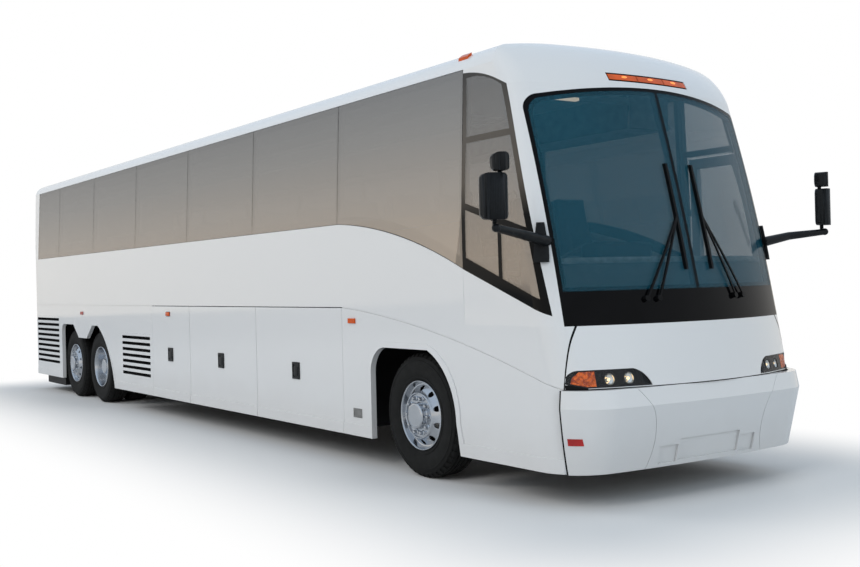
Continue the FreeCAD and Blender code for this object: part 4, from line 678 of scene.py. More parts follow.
def makeTyre(shape):
    half = shape["profile"]
    tread = shape["treadRadius"]
    floor = tread - shape["grooveDepth"]
    edge = shape["grooveWidth"] / 2
    floorEdge = edge * shape["grooveFloorShare"]
    line = list(half)
    for across in shape["grooves"]:
        line += [(tread, across - edge), (floor, across - floorEdge), (floor, across + floorEdge),
                 (tread, across + edge)]
    line += [(radius, shape["width"] - across) for radius, across in reversed(half[1:])]
    obj = spinProfile("tyreForm", line, shape["steps"], closed=True)
    share = 2 * math.pi / shape["steps"]
    inner, outer = shape["notchRadii"]

    def isNotch(centre, normal):
        number = int((math.atan2(centre.z, centre.x) % (2 * math.pi)) / share)
        return inner < math.hypot(centre.x, centre.z) < outer and number % shape["notchEvery"] == 0

    pickFaces(obj, isNotch)
    bpy.ops.mesh.extrude_region_shrink_fatten(
        TRANSFORM_OT_shrink_fatten={"value": -shape["notchDepth"], "use_even_offset": False})
    leaveEdit()
    return obj


wheelPlaces = {
    "front_right": ("front wheel right", 4.75, -1),
    "front_left": ("front wheel left", 4.75, 1),
    "drive_right": ("drive wheel right", -3.65, -1),
    "drive_left": ("drive wheel left", -3.65, 1),
    "tag_right": ("tag wheel right", -4.87, -1),
    "tag_left": ("tag wheel left", -4.87, 1),
}
axleHeight = 0.530
tyreFace = 1.235        # outer face of the tyres, from the middle
dualStep = 0.345        # inner tyre of the drive axle behind the outer one


def onHub(form, name, place, side, step=0):
    # a wheel piece made facing right, at its hub and turned to its side
    turn = 0 if side < 0 else 180
    return placedCopy(form, name, (place, side * (tyreFace - step), axleHeight), turn)


def addTyres():
    form = makeTyre(tyreShape)
    for name, (body, place, side) in wheelPlaces.items():
        tyre = onHub(form, "tyre_" + name + "_moulded", place, side)
        if name.startswith("drive"):
            inner = onHub(form, "innerTyre", place, side, dualStep)
            tyre = joinAll("tyre_" + name + "_moulded", [tyre, inner])
        finishPiece(tyre, tyreRubber, 30, body, "tyre_" + name)
    bpy.data.objects.remove(form)


addTyres()
print("tyres done")


# rims: forged discs with round hand holes, a raised bolt ring and pointed nut covers
rimShape = {
    "flange": [
        (0.302, 0.150), (0.302, 0.030), (0.300, 0.018), (0.2965, 0.010), (0.293, 0.006), (0.288, 0.006),
        (0.2845, 0.010), (0.281, 0.022),
    ],
    "front": {
        "disc": [
            (0.274, 0.045), (0.268, 0.056), (0.258, 0.058), (0.246, 0.050), (0.210, 0.018), (0.201, 0.006),
            (0.198, -0.006), (0.193, -0.012), (0.187, -0.012), (0.183, -0.006), (0.180, 0.002),
            (0.114, 0.002), (0.110, -0.004), (0.109, -0.040), (0.104, -0.048), (0.092, -0.052),
            (0.090, -0.050), (0.0, -0.0515),
        ],
        "drill": (-0.05, 0.10),
        "nutSeat": 0.002,
    },
    "deep": {
        "disc": [
            (0.270, 0.070), (0.262, 0.120), (0.252, 0.148), (0.240, 0.156), (0.190, 0.152), (0.184, 0.146),
            (0.118, 0.146), (0.112, 0.140), (0.109, 0.060), (0.104, 0.050), (0.092, 0.046), (0.090, 0.048),
            (0.0, 0.046),
        ],
        "drill": (0.10, 0.20),
        "nutSeat": 0.146,
    },
    "holeCircle": 0.228,
    "holeRadius": 0.025,
    "holeSides": 20,
    "count": 10,                 # hand holes, and nuts between them
    "steps": 96,
    "thickness": 0.010,
    "nutCircle": 0.150,
    "nutSides": 12,
    "nutProfile": [(0.0235, 0.0), (0.0235, -0.005), (0.0175, -0.010), (0.0165, -0.026), (0.012, -0.037),
                   (0.0, -0.042)],
}


def makeRim(shape, kind):
    form = shape[kind]
    rim = spinProfile("rim_" + kind, shape["flange"] + form["disc"], shape["steps"])
    applyModifier(rim, "SOLIDIFY", thickness=shape["thickness"], offset=-1)
    start, end = form["drill"]

    def onCircle(radius, number, across):
        angle = 2 * math.pi * number / shape["count"]
        return (radius * math.cos(angle), across, radius * math.sin(angle))

    for number in range(shape["count"]):
        place = onCircle(shape["holeCircle"], number + 0.5, (start + end) / 2)
        drill = addDrill(shape["holeRadius"], end - start, shape["holeSides"], place, (90, 0, 0))
        keepInside(rim, drill, "DIFFERENCE")
    nut = spinProfile("nutCover", shape["nutProfile"], shape["nutSides"])
    nuts = [placedCopy(nut, "nut", onCircle(shape["nutCircle"], number, form["nutSeat"]))
            for number in range(shape["count"])]
    bpy.data.objects.remove(nut)
    return joinAll("rim_" + kind, [rim] + nuts)


def addRims():
    front = makeRim(rimShape, "front")
    deep = makeRim(rimShape, "deep")
    for name, (body, place, side) in wheelPlaces.items():
        rim = onHub(deep if name.startswith("drive") else front, "rim_" + name + "_forged", place, side)
        finishPiece(rim, polishedAlloy, 30, body, "rim_" + name)
    bpy.data.objects.remove(front)
    bpy.data.objects.remove(deep)


addRims()
print("rims done")


# bay door latches: a rounded paddle over a shallow dish
wallFace = 1.295                 # outer face of the side walls and bay doors, from the middle
latchShape = {
    "places": [(1, 2.660, 0.806), (2, 0.843, 0.825), (3, -0.692, 0.832)],      # door, along, height
    "proud": 0.002,
    "plate": ((-0.075, -0.010, -0.085), (0.075, 0.004, 0.085)),
    "plateBevel": 0.004,
    "dishRim": 0.018,
    "dishDepth": 0.007,
    "dishFillet": 0.006,
    "paddle": ((-0.043, -0.010, -0.050), (0.043, 0.0, 0.040)),
    "paddleBevel": 0.0045,
}


def addLatches(shape):
    for number, along, high in shape["places"]:
        plate = roundedBox("latchPlate", *shape["plate"], shape["plateBevel"])
        pickFaces(plate, lambda centre, normal: normal.y < -0.99)
        bpy.ops.mesh.inset(thickness=shape["dishRim"])
        extrudeBy((0, shape["dishDepth"], 0))
        bpy.ops.mesh.inset(thickness=shape["dishFillet"])
        leaveEdit()
        paddle = roundedBox("latchPaddle", *shape["paddle"], shape["paddleBevel"], 3)
        latch = joinAll("latchForm", [plate, paddle])
        for side, sideName in sides:
            piece = placedCopy(latch, "latch_%s_%d" % (sideName, number),
                               (along, side * (wallFace + shape["proud"]), high), 0 if side < 0 else 180)
            finishPiece(piece, blackPlastic, 30, "bay door %s %d" % (sideName, number))
        bpy.data.objects.remove(latch)


addLatches(latchShape)
print("latches done")


# louvre liners: near-black sheets behind the slots, painted shade for the dark open slots
linerShape = {
    "boxes": [
        ((-6.765, 1.2455, 0.46), (-5.546, 1.2485, 1.26)),
        ((-2.498, 1.2455, 0.47), (-1.402, 1.2485, 1.06)),
    ],
    "bevel": 0.0008,
}


def addLiners(shape):
    made = [roundedBox("louvreLiner", *onSide(side, low, high), shape["bevel"], 1)
            for low, high in shape["boxes"] for side, sideName in sides]
    finishPiece(joinAll("louvreLiners", made), slotShadeBlack, 30)


addLiners(linerShape)
print("liners done")


# head lamps: black housing with two bowls, an inset amber lens and a clear cover, with bulbs that glow as a
# painted highlight
lampShape = {
    "bowls": [(6.731, 0.927, 0.930), (6.776, 0.777, 0.933)],
    "bowlRadius": 0.041,
    "bowlDepth": 0.030,
    "bowlSides": 32,
    "turns": [17.9, 14.9],       # degrees outward of each bowl
    "tilt": -12.5,               # degrees upward
    "sunk": 0.012,
    "amber": [(1.034, 0.885), (1.104, 0.885), (1.200, 0.910), (1.186, 0.952), (1.142, 0.991), (1.034, 0.991)],
    "amberProud": 0.0015,
    "cover": 0.004,
    "reach": (6.5, 7.0),
    "bowlProfile": [(0.044, 0.003), (0.046, -0.001), (0.043, -0.003), (0.040, 0.000), (0.036, 0.012),
                    (0.026, 0.020), (0.012, 0.024), (0.010, 0.022), (0.009, 0.012), (0.0, 0.010)],
    "bulbRadius": 0.011,
    "bulbRings": 10,
}
ribbedLook = {
    "dark": (0.30, 0.030, 0.001, 1),
    "light": (0.80, 0.14, 0.006, 1),
    "mottleScale": 38,
    "mottleStops": (0.38, 0.62),
    "ribScale": 45,
    "ribStrength": 0.5,
    "ribDepth": 0.002,
    "roughness": 0.15,
    "gloss": 0.3,
}


def makeRibbed(name, look):
    # moulded lens: upright ribs over a soft mottle
    material, tree, shader = newMaterial(name)
    ribs = addNode(tree, "TexWave", {"Scale": look["ribScale"], "Vector": objectCoords(tree)},
                   bands_direction="Y")
    mottle = twoShades(tree, look["mottleScale"], 1, look["dark"], look["light"], look["mottleStops"])
    setInputs(tree, shader, {
        "Base Color": mottle,
        "Normal": bumpFrom(tree, ribs.outputs["Fac"], look["ribStrength"], look["ribDepth"]),
        "Roughness": look["roughness"],
        "Specular IOR Level": look["gloss"],
    })
    return material


bowlMetal = makeGrained("lampBowlMetal", (0.75, 0.74, 0.70, 1), 0.12, 60, 0.05, 0.001, 0.05, 1)
# the bulbs glow as a painted highlight in the bowls
bulbGlowHighlight = makeGlow("bulbGlowHighlight", (1.0, 0.72, 0.38, 1), 1.6)
clearCover = makeSeenThrough("clearLampCover", (0.9, 0.92, 0.94, 1), 0.03)
ribbedAmber = makeRibbed("ribbedAmberLens", ribbedLook)


def addPrism(name, outline, low, high):
    # an outline of (across, height) pairs pulled along the coach, used to cut other pieces
    points = [(low, across, height) for across, height in outline]
    obj = drawLine(name, points + points[:1])
    editAll(obj)
    bpy.ops.mesh.remove_doubles(threshold=5 * mergeGap)
    bpy.ops.mesh.select_all(action="SELECT")
    bpy.ops.mesh.edge_face_add()
    extrudeBy((high - low, 0, 0))
    closeUp()
    return obj


def addHeadlamps(shape):
    housing = copyNode("headlamps", "headlampHousing")
    cover = copyNode("headlamps", "headlampCover")
    ambers = []
    bowls = []
    bulbs = []
    for side, sideName in sides:
        amber = copyNode("headlamps", "headlampAmber")
        applyModifier(amber, "DISPLACE", strength=shape["amberProud"], mid_level=0)
        outline = [(side * across, height) for across, height in shape["amber"]]
        keepInside(amber, addPrism("amberOutline", outline, *shape["reach"]))
        ambers.append(amber)
        for (x, y, z), turn in zip(shape["bowls"], shape["turns"]):
            drill = addDrill(shape["bowlRadius"], 2 * shape["bowlDepth"], shape["bowlSides"],
                             (0, 0, 0), (0, 90, 0))
            bowl = spinProfile("lampBowl", shape["bowlProfile"], shape["bowlSides"])
            bowl.rotation_euler.z = math.radians(90)
            settle(bowl)
            bulb = addSphere("lampBulb", shape["bulbRadius"], shape["bulbRings"],
                             (-shape["bulbRadius"], 0, 0))
            outward = math.radians(side * turn)
            inward = Vector((math.cos(outward), math.sin(outward), 0)) * shape["sunk"]
            for piece in (drill, bowl, bulb):
                piece.rotation_euler = (0, math.radians(shape["tilt"]), outward)
                moveTo(piece, Vector((x, side * y, z)) - inward)
            keepInside(housing, drill, "DIFFERENCE")
            bowls.append(bowl)
            bulbs.append(bulb)
    applyModifier(cover, "DISPLACE", strength=shape["cover"], mid_level=0)
    finishPiece(housing, lampBlack, 30, standsFor="headlamps")
    finishPiece(joinAll("headlampAmber", ambers), ribbedAmber, 30)
    finishPiece(cover, clearCover, 30)
    finishPiece(joinAll("headlampBowls", bowls), bowlMetal, 30)
    finishPiece(joinAll("headlampBulbs", bulbs), bulbGlowHighlight, 60)


addHeadlamps(lampShape)
print("head lamps done")


# small lamps on the third bay doors, each a lens over a black base, and the grey filler flaps
markerShape = {"place": (-0.759, 1.340), "size": (0.122, 0.047), "thick": 0.016, "bevel": 0.005,
               "sunk": 0.002, "rim": 0.006, "rimBevel": 0.002}
flapShape = {"place": (3.84, 0.479), "size": (0.15, 0.085), "thick": 0.007, "bevel": 0.004, "sunk": 0.002,
             "dishRim": 0.014, "dishDepth": 0.003}
greyFlap = makeGrained("greyFlap", (0.18, 0.18, 0.175, 1), 0.5, 200, 0.3)


def wallPlate(name, side, shape, rim, thick, bevel, segments=2):
    # a rounded plate sunk a little in the side wall, larger by the rim all round
    x, z = shape["place"]
    wide, tall = (size / 2 + rim for size in shape["size"])
    foot = wallFace - shape["sunk"]
    return roundedBox(name, *onSide(side, (x - wide, foot, z - tall), (x + wide, foot + thick, z + tall)),
                      bevel, segments)


def addMarkers(shape):
    for side, sideName in sides:
        body = "bay door %s 3" % sideName
        lens = wallPlate("markerMid_" + sideName, side, shape, 0, shape["thick"], shape["bevel"], 3)
        base = wallPlate("markerMidBase_" + sideName, side, shape, shape["rim"], shape["rim"],
                         shape["rimBevel"])
        finishPiece(lens, amberLens, body=body)
        finishPiece(base, blackRubber, body=body)


def addFlaps(shape):
    for side, sideName in sides:
        plate = wallPlate("fillerFlap_" + sideName, side, shape, 0, shape["thick"], shape["bevel"])
        pickFaces(plate, lambda centre, normal: normal.y * side > 0.99)
        bpy.ops.mesh.inset(thickness=shape["dishRim"])
        extrudeBy((0, -side * shape["dishDepth"], 0))
        leaveEdit()
        finishPiece(plate, greyFlap, 30)


addMarkers(markerShape)
addFlaps(flapShape)


# reflectors and black seam beads that follow the nose's skin
skinShape = {
    "reflector": ((6.622, 1.13, 0.476), (6.706, 1.30, 0.526)),
    "reflectorProud": 0.003,
    "beadProud": 0.0012,
    "beads": [
        ("bumperSeam", "bumper_corners", (6.58, -1.4, 0.25), (6.5945, 1.4, 0.88)),
        ("panelSeam", "front_panel", (6.58, -1.4, 0.86), (6.5915, 1.4, 1.32)),
        ("bumperTopSeam", "front_panel", (6.58, -1.4, 0.86), (7.0, 1.4, 0.8705)),
        ("lampFootRight", "front_panel", (6.58, -1.232, 0.86), (7.0, -1.10, 0.902)),
        ("lampFootLeft", "front_panel", (6.58, 1.10, 0.86), (7.0, 1.232, 0.902)),
    ],
}


def addSkinPieces(shape):
    for side, sideName in sides:
        lens = skinPatch("bumper_corners", "bumperReflector_" + sideName, shape["reflectorProud"],
                         *onSide(side, *shape["reflector"]))
        finishPiece(lens, redLens)
    for name, node, low, high in shape["beads"]:
        finishPiece(skinPatch(node, name, shape["beadProud"], low, high), blackRubber)


addSkinPieces(skinShape)
print("markers, reflectors and seams done")


# mirrors: the bracket trimmed to the pillar's side, and glass set in each housing
mirrorShape = {
    "headReach": 1.5,            # loose parts that reach further out than this are the heads
    "bracketKept": ((6.3, 1.225, 1.7), (6.5, 1.4, 2.2)),
    "glassTurn": 20,             # degrees from straight back
    "glassFacing": 0.97,
    "glassFrom": 1.6,
    "glassThick": 0.002,
}
mirrorSilver = makeGrained("mirrorSilver", (0.80, 0.82, 0.84, 1), 0.03, 20, 0.0, 0.001, 0.03, 1)


def sideOf(obj):
    return 1 if obj.data.vertices[0].co.y > 0 else -1


def mirrorPlate(head, shape):
    # the flat back face of a housing, made a thin plate of glass
    turn = math.radians(shape["glassTurn"])
    facing = Vector((-math.cos(turn), -sideOf(head) * math.sin(turn), 0))
    glass = placedCopy(head, "mirrorGlass")
    pickFaces(glass, lambda centre, normal: not (normal.dot(facing) > shape["glassFacing"]
                                                 and abs(centre.y) > shape["glassFrom"]))
    bpy.ops.mesh.delete(type="FACE")
    leaveEdit()
    applyModifier(glass, "SOLIDIFY", thickness=shape["glassThick"], offset=1)
    return glass


def addMirrors(shape):
    editAll(copyNode("mirrors", "mirrorHeads"))
    bpy.ops.mesh.separate(type="LOOSE")
    freeAll()
    parts = [obj for obj in bpy.context.scene.objects if obj.name.startswith("mirrorHeads")]
    heads = []
    brackets = []
    for part in parts:
        if max(abs(vertex.co.y) for vertex in part.data.vertices) > shape["headReach"]:
            heads.append(part)
        else:
            keepInside(part, addBox("bracketRegion", *onSide(sideOf(part), *shape["bracketKept"])))
            brackets.append(part)
    glasses = [mirrorPlate(head, shape) for head in heads]
    finishPiece(joinAll("mirrorHeads", heads), blackPlastic, 35, standsFor="mirrors")
    finishPiece(joinAll("mirrorBrackets", brackets), blackPlastic, 35, standsFor="mirrors")
    finishPiece(joinAll("mirrorGlass", glasses), mirrorSilver, 35)


addMirrors(mirrorShape)
print("mirrors done")


# cab: a dash top painted lighter than the dash plastic as painted light from the windscreen, an instrument
# hood, rack fascias and a ceiling light
cabShape = {
    "dashTop": ((6.2, -1.2, 1.765), (7.0, 1.2, 1.83)),
    "dashProud": 0.012,
    "hood": ((6.360, -0.86, 1.79), (6.560, -0.26, 1.925)),
    "hoodBevel": 0.05,
    "board": ((6.345, -0.80, 1.60), (6.375, -0.32, 1.90)),
    "boardBevel": 0.012,
    "fascia": ((-6.40, 0.655, 3.00), (5.38, 0.700, 3.30)),
    "fasciaBevel": 0.018,
    "rackEnd": ((5.372, 0.70, 3.00), (5.402, 1.19, 3.30)),
    "light": ((5.40, -0.28, 3.185), (5.46, 0.03, 3.215)),
    "lightPanel": ((5.30, -0.66, 3.212), (5.50, 0.66, 3.250)),
    "smallBevel": 0.010,
}
# the dash plastic's hue made brighter: painted light on the dash top
dashTopLit = makeGrained("dashTopPaintedLight", (0.36, 0.42, 0.43, 1), 0.65, 260, 0.3, 0.0006)
greyLaminate = makeGrained("greyRackFascia", (0.20, 0.21, 0.22, 1), 0.5, 160, 0.2)
warmLight = makeGlow("warmCeilingLight", (1.0, 0.82, 0.60, 1), 1.2)


def addCab(shape):
    finishPiece(skinPatch("dash", "dashTop", shape["dashProud"], *shape["dashTop"]), dashTopLit)
    hood = roundedBox("instrumentHood", *shape["hood"], shape["hoodBevel"], 5)
    board = roundedBox("instrumentBoard", *shape["board"], shape["boardBevel"], 3)
    finishPiece(joinAll("instrumentHood", [hood, board]), blackPlastic)
    parts = []
    for name, bevel in (("fascia", shape["fasciaBevel"]), ("rackEnd", shape["smallBevel"])):
        parts += [roundedBox(name, *onSide(side, *shape[name]), bevel, 3) for side in (1, -1)]
    parts.append(roundedBox("lightPanel", *shape["lightPanel"], shape["smallBevel"], 3))
    finishPiece(joinAll("rackFascias", parts), greyLaminate)
    light = roundedBox("ceilingLight", *shape["light"], shape["smallBevel"], 3)
    finishPiece(light, warmLight)


addCab(cabShape)
print("cab done")


# cap lamp: black tray under the three amber lenses, and a bulb in each lens
trayShape = {
    "half": 0.439,
    "low": (6.3245, 3.182),      # how far forward its middle reaches, and the height
    "high": (6.2825, 3.248),
    "radius": 3.012,
    "steps": 14,
    "thickness": 0.003,
    "bulbs": [-0.27, 0.0, 0.27],
    "bulbHeight": 3.216,
    "bulbSunk": 0.0185,
    "bulbSize": (0.010, 0.034, 0.014),
    "bulbRings": 8,
}
lampGlow = makeGlow("capLampGlow", (1.0, 0.30, 0.06, 1), 0.9)


def addCapLamp(shape):
    reach, foot = shape["low"]
    topReach, top = shape["high"]

    def onArc(y):
        return reach - shape["radius"] + math.sqrt(shape["radius"] ** 2 - y * y)

    places = [shape["half"] * (2 * step / shape["steps"] - 1) for step in range(shape["steps"] + 1)]
    tray = drawLine("capLampTray", [(onArc(y), y, foot) for y in places])
    editAll(tray)
    extrudeBy((topReach - reach, 0, top - foot))
    closeUp()
    applyModifier(tray, "SOLIDIFY", thickness=shape["thickness"], offset=0)
    finishPiece(tray, lampBlack, 30)
    bulbs = []
    for y in shape["bulbs"]:
        bulb = addSphere("capLampBulb", 1, shape["bulbRings"], scale=shape["bulbSize"])
        moveTo(bulb, (onArc(y) - shape["bulbSunk"], y, shape["bulbHeight"]))
        bulbs.append(bulb)
    finishPiece(joinAll("capLampBulbs", bulbs), lampGlow, 60)


addCapLamp(trayShape)
print("cap lamp done")


# pads: a block puffed by a short cloth run, then sewn
padShape = {
    "voxel": 0.006,
    "pressure": 4.0,
    "quality": 4,
    "frames": 20,
    "cap": 0.024,                # how far a point may move
    "cuts": 3,
    "cushionBevel": 0.028,
    "backBevel": 0.030,
    "restBevel": 0.026,
    "channelDepth": 0.007,
    "channelWidth": 0.007,
    "headStart": 0.80,           # the back narrows from here
    "headRise": 0.12,
    "headShare": 0.86,
    "frontFrom": 0.08,
    "bulges": [(0.016, 0.58, 0.10), (0.012, 0.96, 0.08)],     # depth, height and reach
    "backFoot": (0.08, 0.0, 0.40),
    "rake": 10.8,                # degrees
    "smooth": 60,
}


def puff(obj, cap, base=None):
    # cloth run with pressure and no gravity, its movement held under the cap
    applyModifier(obj, "REMESH", mode="VOXEL", voxel_size=padShape["voxel"])
    start = [vertex.co.copy() for vertex in obj.data.vertices]
    cloth = obj.modifiers.new("puff", "CLOTH")
    cloth.settings.quality = padShape["quality"]
    cloth.settings.use_pressure = True
    cloth.settings.uniform_pressure_force = padShape["pressure"]
    cloth.settings.effector_weights.gravity = 0
    cloth.collision_settings.use_collision = False
    cloth.point_cache.frame_start = 1
    cloth.point_cache.frame_end = padShape["frames"]
    for number in range(1, padShape["frames"] + 1):
        bpy.context.scene.frame_set(number)
    takeOnly(obj)
    bpy.ops.object.modifier_apply(modifier=cloth.name)
    bpy.context.scene.frame_set(1)
    for vertex, old in zip(obj.data.vertices, start):
        move = vertex.co - old
        if move.length > 0:
            move *= cap * math.tanh(move.length / cap) / move.length
        vertex.co = old + move
        if base is not None:
            vertex.co.z = max(vertex.co.z, base)


def sewChannels(obj, lines):
    # each line is (axis, place, low, high, along): a groove at that place, between low and high of along
    normals = [vertex.normal.copy() for vertex in obj.data.vertices]
    for vertex, normal in zip(obj.data.vertices, normals):
        for axis, place, low, high, along in lines:
            if low < vertex.co[along] < high:
                gap = (vertex.co[axis] - place) / padShape["channelWidth"]
                vertex.co -= normal * padShape["channelDepth"] * math.exp(-gap * gap)


def padBlock(name, corners, bevel):
    pad = roundedBox(name, *corners, bevel)
    editAll(pad)
    bpy.ops.mesh.subdivide(number_cuts=padShape["cuts"])
    leaveEdit()
    return pad


def shapeBack(pad):
    # narrower towards the head, fuller at the small of the back
    for vertex in pad.data.vertices:
        rise = min(1, max(0, (vertex.co.z - padShape["headStart"]) / padShape["headRise"]))
        vertex.co.y *= 1 - (1 - padShape["headShare"]) * rise * rise * (3 - 2 * rise)
        if vertex.co.x > padShape["frontFrom"]:
            for depth, height, reach in padShape["bulges"]:
                vertex.co.x += depth * math.exp(-((vertex.co.z - height) / reach) ** 2)


def lean(obj):
    # tips a back to the rear about its foot
    turn = Matrix.Rotation(math.radians(-padShape["rake"]), 4, "Y")
    foot = Vector(padShape["backFoot"])
    obj.data.transform(Matrix.Translation(foot) @ turn @ Matrix.Translation(-foot))


def thinPad(obj, triangles):
    total = sum(len(face.vertices) - 2 for face in obj.data.polygons)
    applyModifier(obj, "DECIMATE", ratio=min(1, triangles / total))


def makeCushion(name, shape):
    pad = padBlock(name, shape["cushion"], padShape["cushionBevel"])
    puff(pad, padShape["cap"], shape["cushion"][0][2])
    sewChannels(pad, shape["cushionChannels"])
    return pad


def makeBack(name, shape):
    pad = padBlock(name, shape["back"], padShape["backBevel"])
    shapeBack(pad)
    puff(pad, padShape["cap"])
    sewChannels(pad, shape["backChannels"])
    lean(pad)
    return pad


def finishPad(pad, node):
    finishPiece(pad, moquette, padShape["smooth"], standsFor=node)


# seat cloth: fine ribs and a small warm fleck on blue-grey
moquetteLook = {
    "ribScale": 160,
    "ribDistortion": 1.5,
    "ribStrength": 0.35,
    "ribDepth": 0.0008,
    "fleckScale": 70,
    "stops": [
        (0.10, (0.16, 0.13, 0.10, 1)),
        (0.22, (0.050, 0.062, 0.095, 1)),
        (0.6, (0.030, 0.038, 0.062, 1)),
    ],
    "roughness": 0.92,
    "sheen": 0.35,
}


def makeMoquette(look):
    material, tree, shader = newMaterial("blueGreyMoquette")
    place = objectCoords(tree)
    ribs = addNode(tree, "TexWave", {"Scale": look["ribScale"], "Distortion": look["ribDistortion"],
                                     "Vector": place})
    fleck = addNode(tree, "TexVoronoi", {"Scale": look["fleckScale"], "Vector": place})
    setInputs(tree, shader, {
        "Base Color": rampOn(tree, fleck.outputs["Distance"], look["stops"]),
        "Normal": bumpFrom(tree, ribs.outputs["Fac"], look["ribStrength"], look["ribDepth"]),
        "Roughness": look["roughness"],
        "Sheen Weight": look["sheen"],
    })
    return material


moquette = makeMoquette(moquetteLook)
shellPlastic = makeGrained("greyBackShell", (0.085, 0.088, 0.095, 1), 0.5, 300, 0.25, 0.0006)


# passenger seats: pads on steel legs with moulded back shells, in rows of two a side
seatShape = {
    "rows": 13,
    "firstRear": 4.30,
    "pitch": 0.86,
    "floor": 1.42,
    "places": [0.445, 0.955],    # middle of each place, from the aisle's middle line
    "cushion": ((0.165, -0.222, 0.315), (0.650, 0.222, 0.425)),
    "cushionChannels": [(1, -0.105, 0.20, 0.56, 0), (1, 0.105, 0.20, 0.56, 0), (0, 0.565, -0.20, 0.20, 1)],
    "cushionTriangles": 1300,
    "back": ((0.035, -0.215, 0.400), (0.125, 0.215, 1.050)),
    "backChannels": [(1, -0.10, 0.45, 0.80, 2), (1, 0.10, 0.45, 0.80, 2), (2, 0.815, -0.18, 0.18, 1)],
    "backTriangles": 1700,
    "fill": 0.8,
    "steel": [                   # foot, leg, two tubes, arm pad and its post: corners and bevel
        ((0.17, 0.44, 0.0), (0.42, 0.54, 0.010), 0.003),
        ((0.21, 0.465, 0.008), (0.36, 0.515, 0.285), 0.010),
        ((0.20, 0.205, 0.280), (0.24, 1.195, 0.318), 0.012),
        ((0.50, 0.205, 0.280), (0.54, 1.195, 0.318), 0.012),
        ((0.10, 0.186, 0.590), (0.42, 0.228, 0.622), 0.012),
        ((0.11, 0.192, 0.330), (0.16, 0.222, 0.595), 0.008),
    ],
    "shell": ((0.018, 0.33), (0.048, 1.03)),          # (along, height) of two corners
    "shellHalf": 0.205,
    "shellBevel": 0.012,
    "pan": ((0.14, 0.300), (0.62, 0.322)),
    "panHalf": 0.215,
    "panBevel": 0.008,
    "gripRing": 0.055,
    "gripBar": 0.010,
    "gripPlace": (-0.075, 0.275, 1.035),
}


def seatFrame(shape):
    # steel under a double seat, with two moulded back shells, two pans and a grab handle
    parts = [roundedBox("steel", *box) for box in shape["steel"]]

    def plate(name, middle, segments):
        (x, z), (farX, farZ) = shape[name]
        half = shape[name + "Half"]
        parts.append(roundedBox(name, (x, middle - half, z), (farX, middle + half, farZ),
                                shape[name + "Bevel"], segments))

    for middle in shape["places"]:
        plate("shell", middle, 3)
        lean(parts[-1])
        plate("pan", middle, 2)
    freeAll()
    bpy.ops.mesh.primitive_torus_add(major_segments=20, minor_segments=8, major_radius=shape["gripRing"],
                                     minor_radius=shape["gripBar"], location=shape["gripPlace"],
                                     rotation=(0, math.radians(90), 0))
    parts.append(justMade("grabHandle"))
    return joinAll("seatFrame", parts)


def addPassengerSeats(shape):
    cushion = makeCushion("seatCushion", shape)
    back = makeBack("seatBack", shape)
    thinPad(cushion, shape["cushionTriangles"])
    thinPad(back, shape["backTriangles"])
    leftSteel = seatFrame(shape)
    rightSteel = mirroredCopy(leftSteel, "rightFrame")
    rears = [shape["firstRear"] - shape["pitch"] * row for row in range(shape["rows"])]

    def spread(form, name, places):
        copies = [placedCopy(form, "copy", (x, y, shape["floor"])) for x in rears for y in places]
        return joinAll(name, copies)

    for side, sideName, steel in ((1, "left", leftSteel), (-1, "right", rightSteel)):
        middles = [side * middle for middle in shape["places"]]
        pads = spread(cushion, "passengerCushions_" + sideName, middles)
        rests = spread(back, "passengerBacks_" + sideName, middles)
        frames = spread(steel, "passengerSeatFrames_" + sideName, [0])
        for piece in (pads, rests):
            finishPad(piece, "passenger_seats")
        finishPiece(frames, shellPlastic, standsFor="passenger_seats")
    for form in (cushion, back, leftSteel, rightSteel):
        bpy.data.objects.remove(form)


addPassengerSeats(seatShape)
print("passenger seats done")


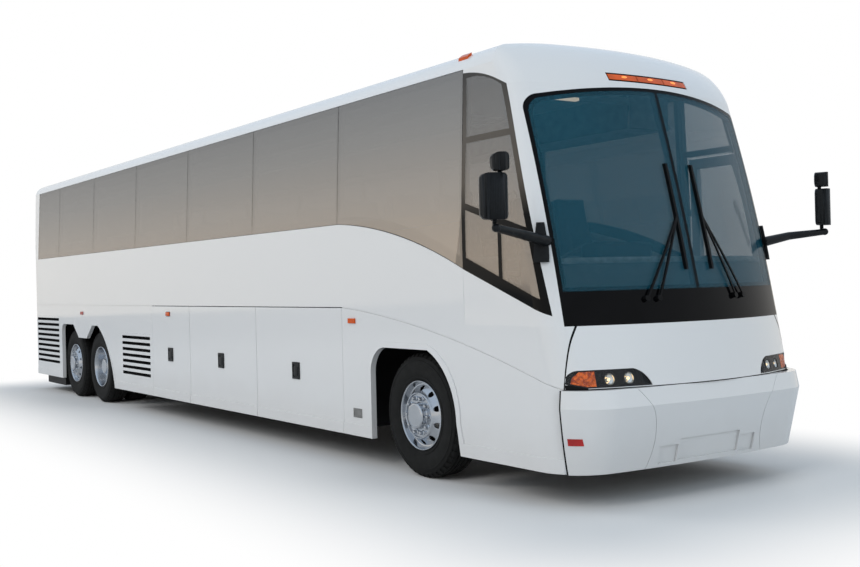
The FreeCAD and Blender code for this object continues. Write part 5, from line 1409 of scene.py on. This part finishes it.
# driver's seat: pads on a base with a bellows, the base and bellows in the grey back-shell plastic
driverShape = {
    "place": (5.58, -0.56, 0.90),
    "cushion": ((0.150, -0.235, 0.320), (0.640, 0.235, 0.425)),
    "cushionChannels": [(1, -0.115, 0.20, 0.56, 0), (1, 0.115, 0.20, 0.56, 0), (0, 0.565, -0.22, 0.22, 1)],
    "back": ((0.030, -0.225, 0.400), (0.125, 0.225, 1.020)),
    "backChannels": [(1, -0.11, 0.45, 0.86, 2), (1, 0.11, 0.45, 0.86, 2), (2, 0.60, -0.11, 0.11, 1)],
    "rest": ((0.045, -0.130, 1.045), (0.125, 0.130, 1.190)),
    "fill": 0.85,
    "base": [                    # foot, riser, arm pad and belt: corners, bevel and its segments
        ((0.16, -0.20, 0.0), (0.54, 0.20, 0.025), 0.006, 2),
        ((0.20, -0.15, 0.28), (0.52, 0.15, 0.318), 0.008, 2),
        ((0.09, 0.250, 0.60), (0.40, 0.300, 0.635), 0.014, 3),
        ((0.05, 0.232, 0.33), (0.13, 0.240, 0.72), 0.002, 1),
    ],
    "folds": 5,
    "foldWidths": (0.135, 0.150),
    "foldMiddle": 0.36,
    "foldFoot": 0.022,
    "foldHeight": 0.052,
    "foldOverlap": 0.004,
    "foldBevel": 0.014,
    "posts": (-0.05, 0.05),
    "post": ((0.068, -0.007, 0.98), (0.082, 0.007, 1.08)),
    "postBevel": 0.004,
}


def driverBase(shape):
    parts = [roundedBox("seatBase", *box) for box in shape["base"]]
    for step in range(shape["folds"]):
        wide = shape["foldWidths"][step % 2]
        x = shape["foldMiddle"]
        foot = shape["foldFoot"] + shape["foldHeight"] * step
        top = foot + shape["foldHeight"] + shape["foldOverlap"]
        parts.append(roundedBox("bellowsFold", (x - wide, -wide, foot), (x + wide, wide, top),
                                shape["foldBevel"]))
    for across in shape["posts"]:
        low, high = ((x, across + y, z) for x, y, z in shape["post"])
        parts.append(roundedBox("restPost", low, high, shape["postBevel"]))
        lean(parts[-1])
    return joinAll("driverSeatBase", parts)


def addDriverSeat(shape):
    cushion = makeCushion("driverCushion", shape)
    back = makeBack("driverBack", shape)
    rest = padBlock("driverHeadRest", shape["rest"], padShape["restBevel"])
    puff(rest, padShape["cap"] / 2)
    lean(rest)
    for pad in (cushion, back, rest):
        moveTo(pad, shape["place"])
        finishPad(pad, "driver_seat")
    base = driverBase(shape)
    moveTo(base, shape["place"])
    finishPiece(base, shellPlastic, standsFor="driver_seat")


addDriverSeat(driverShape)
print("driver seat done")

bpy.context.scene.view_settings.view_transform = "Standard"
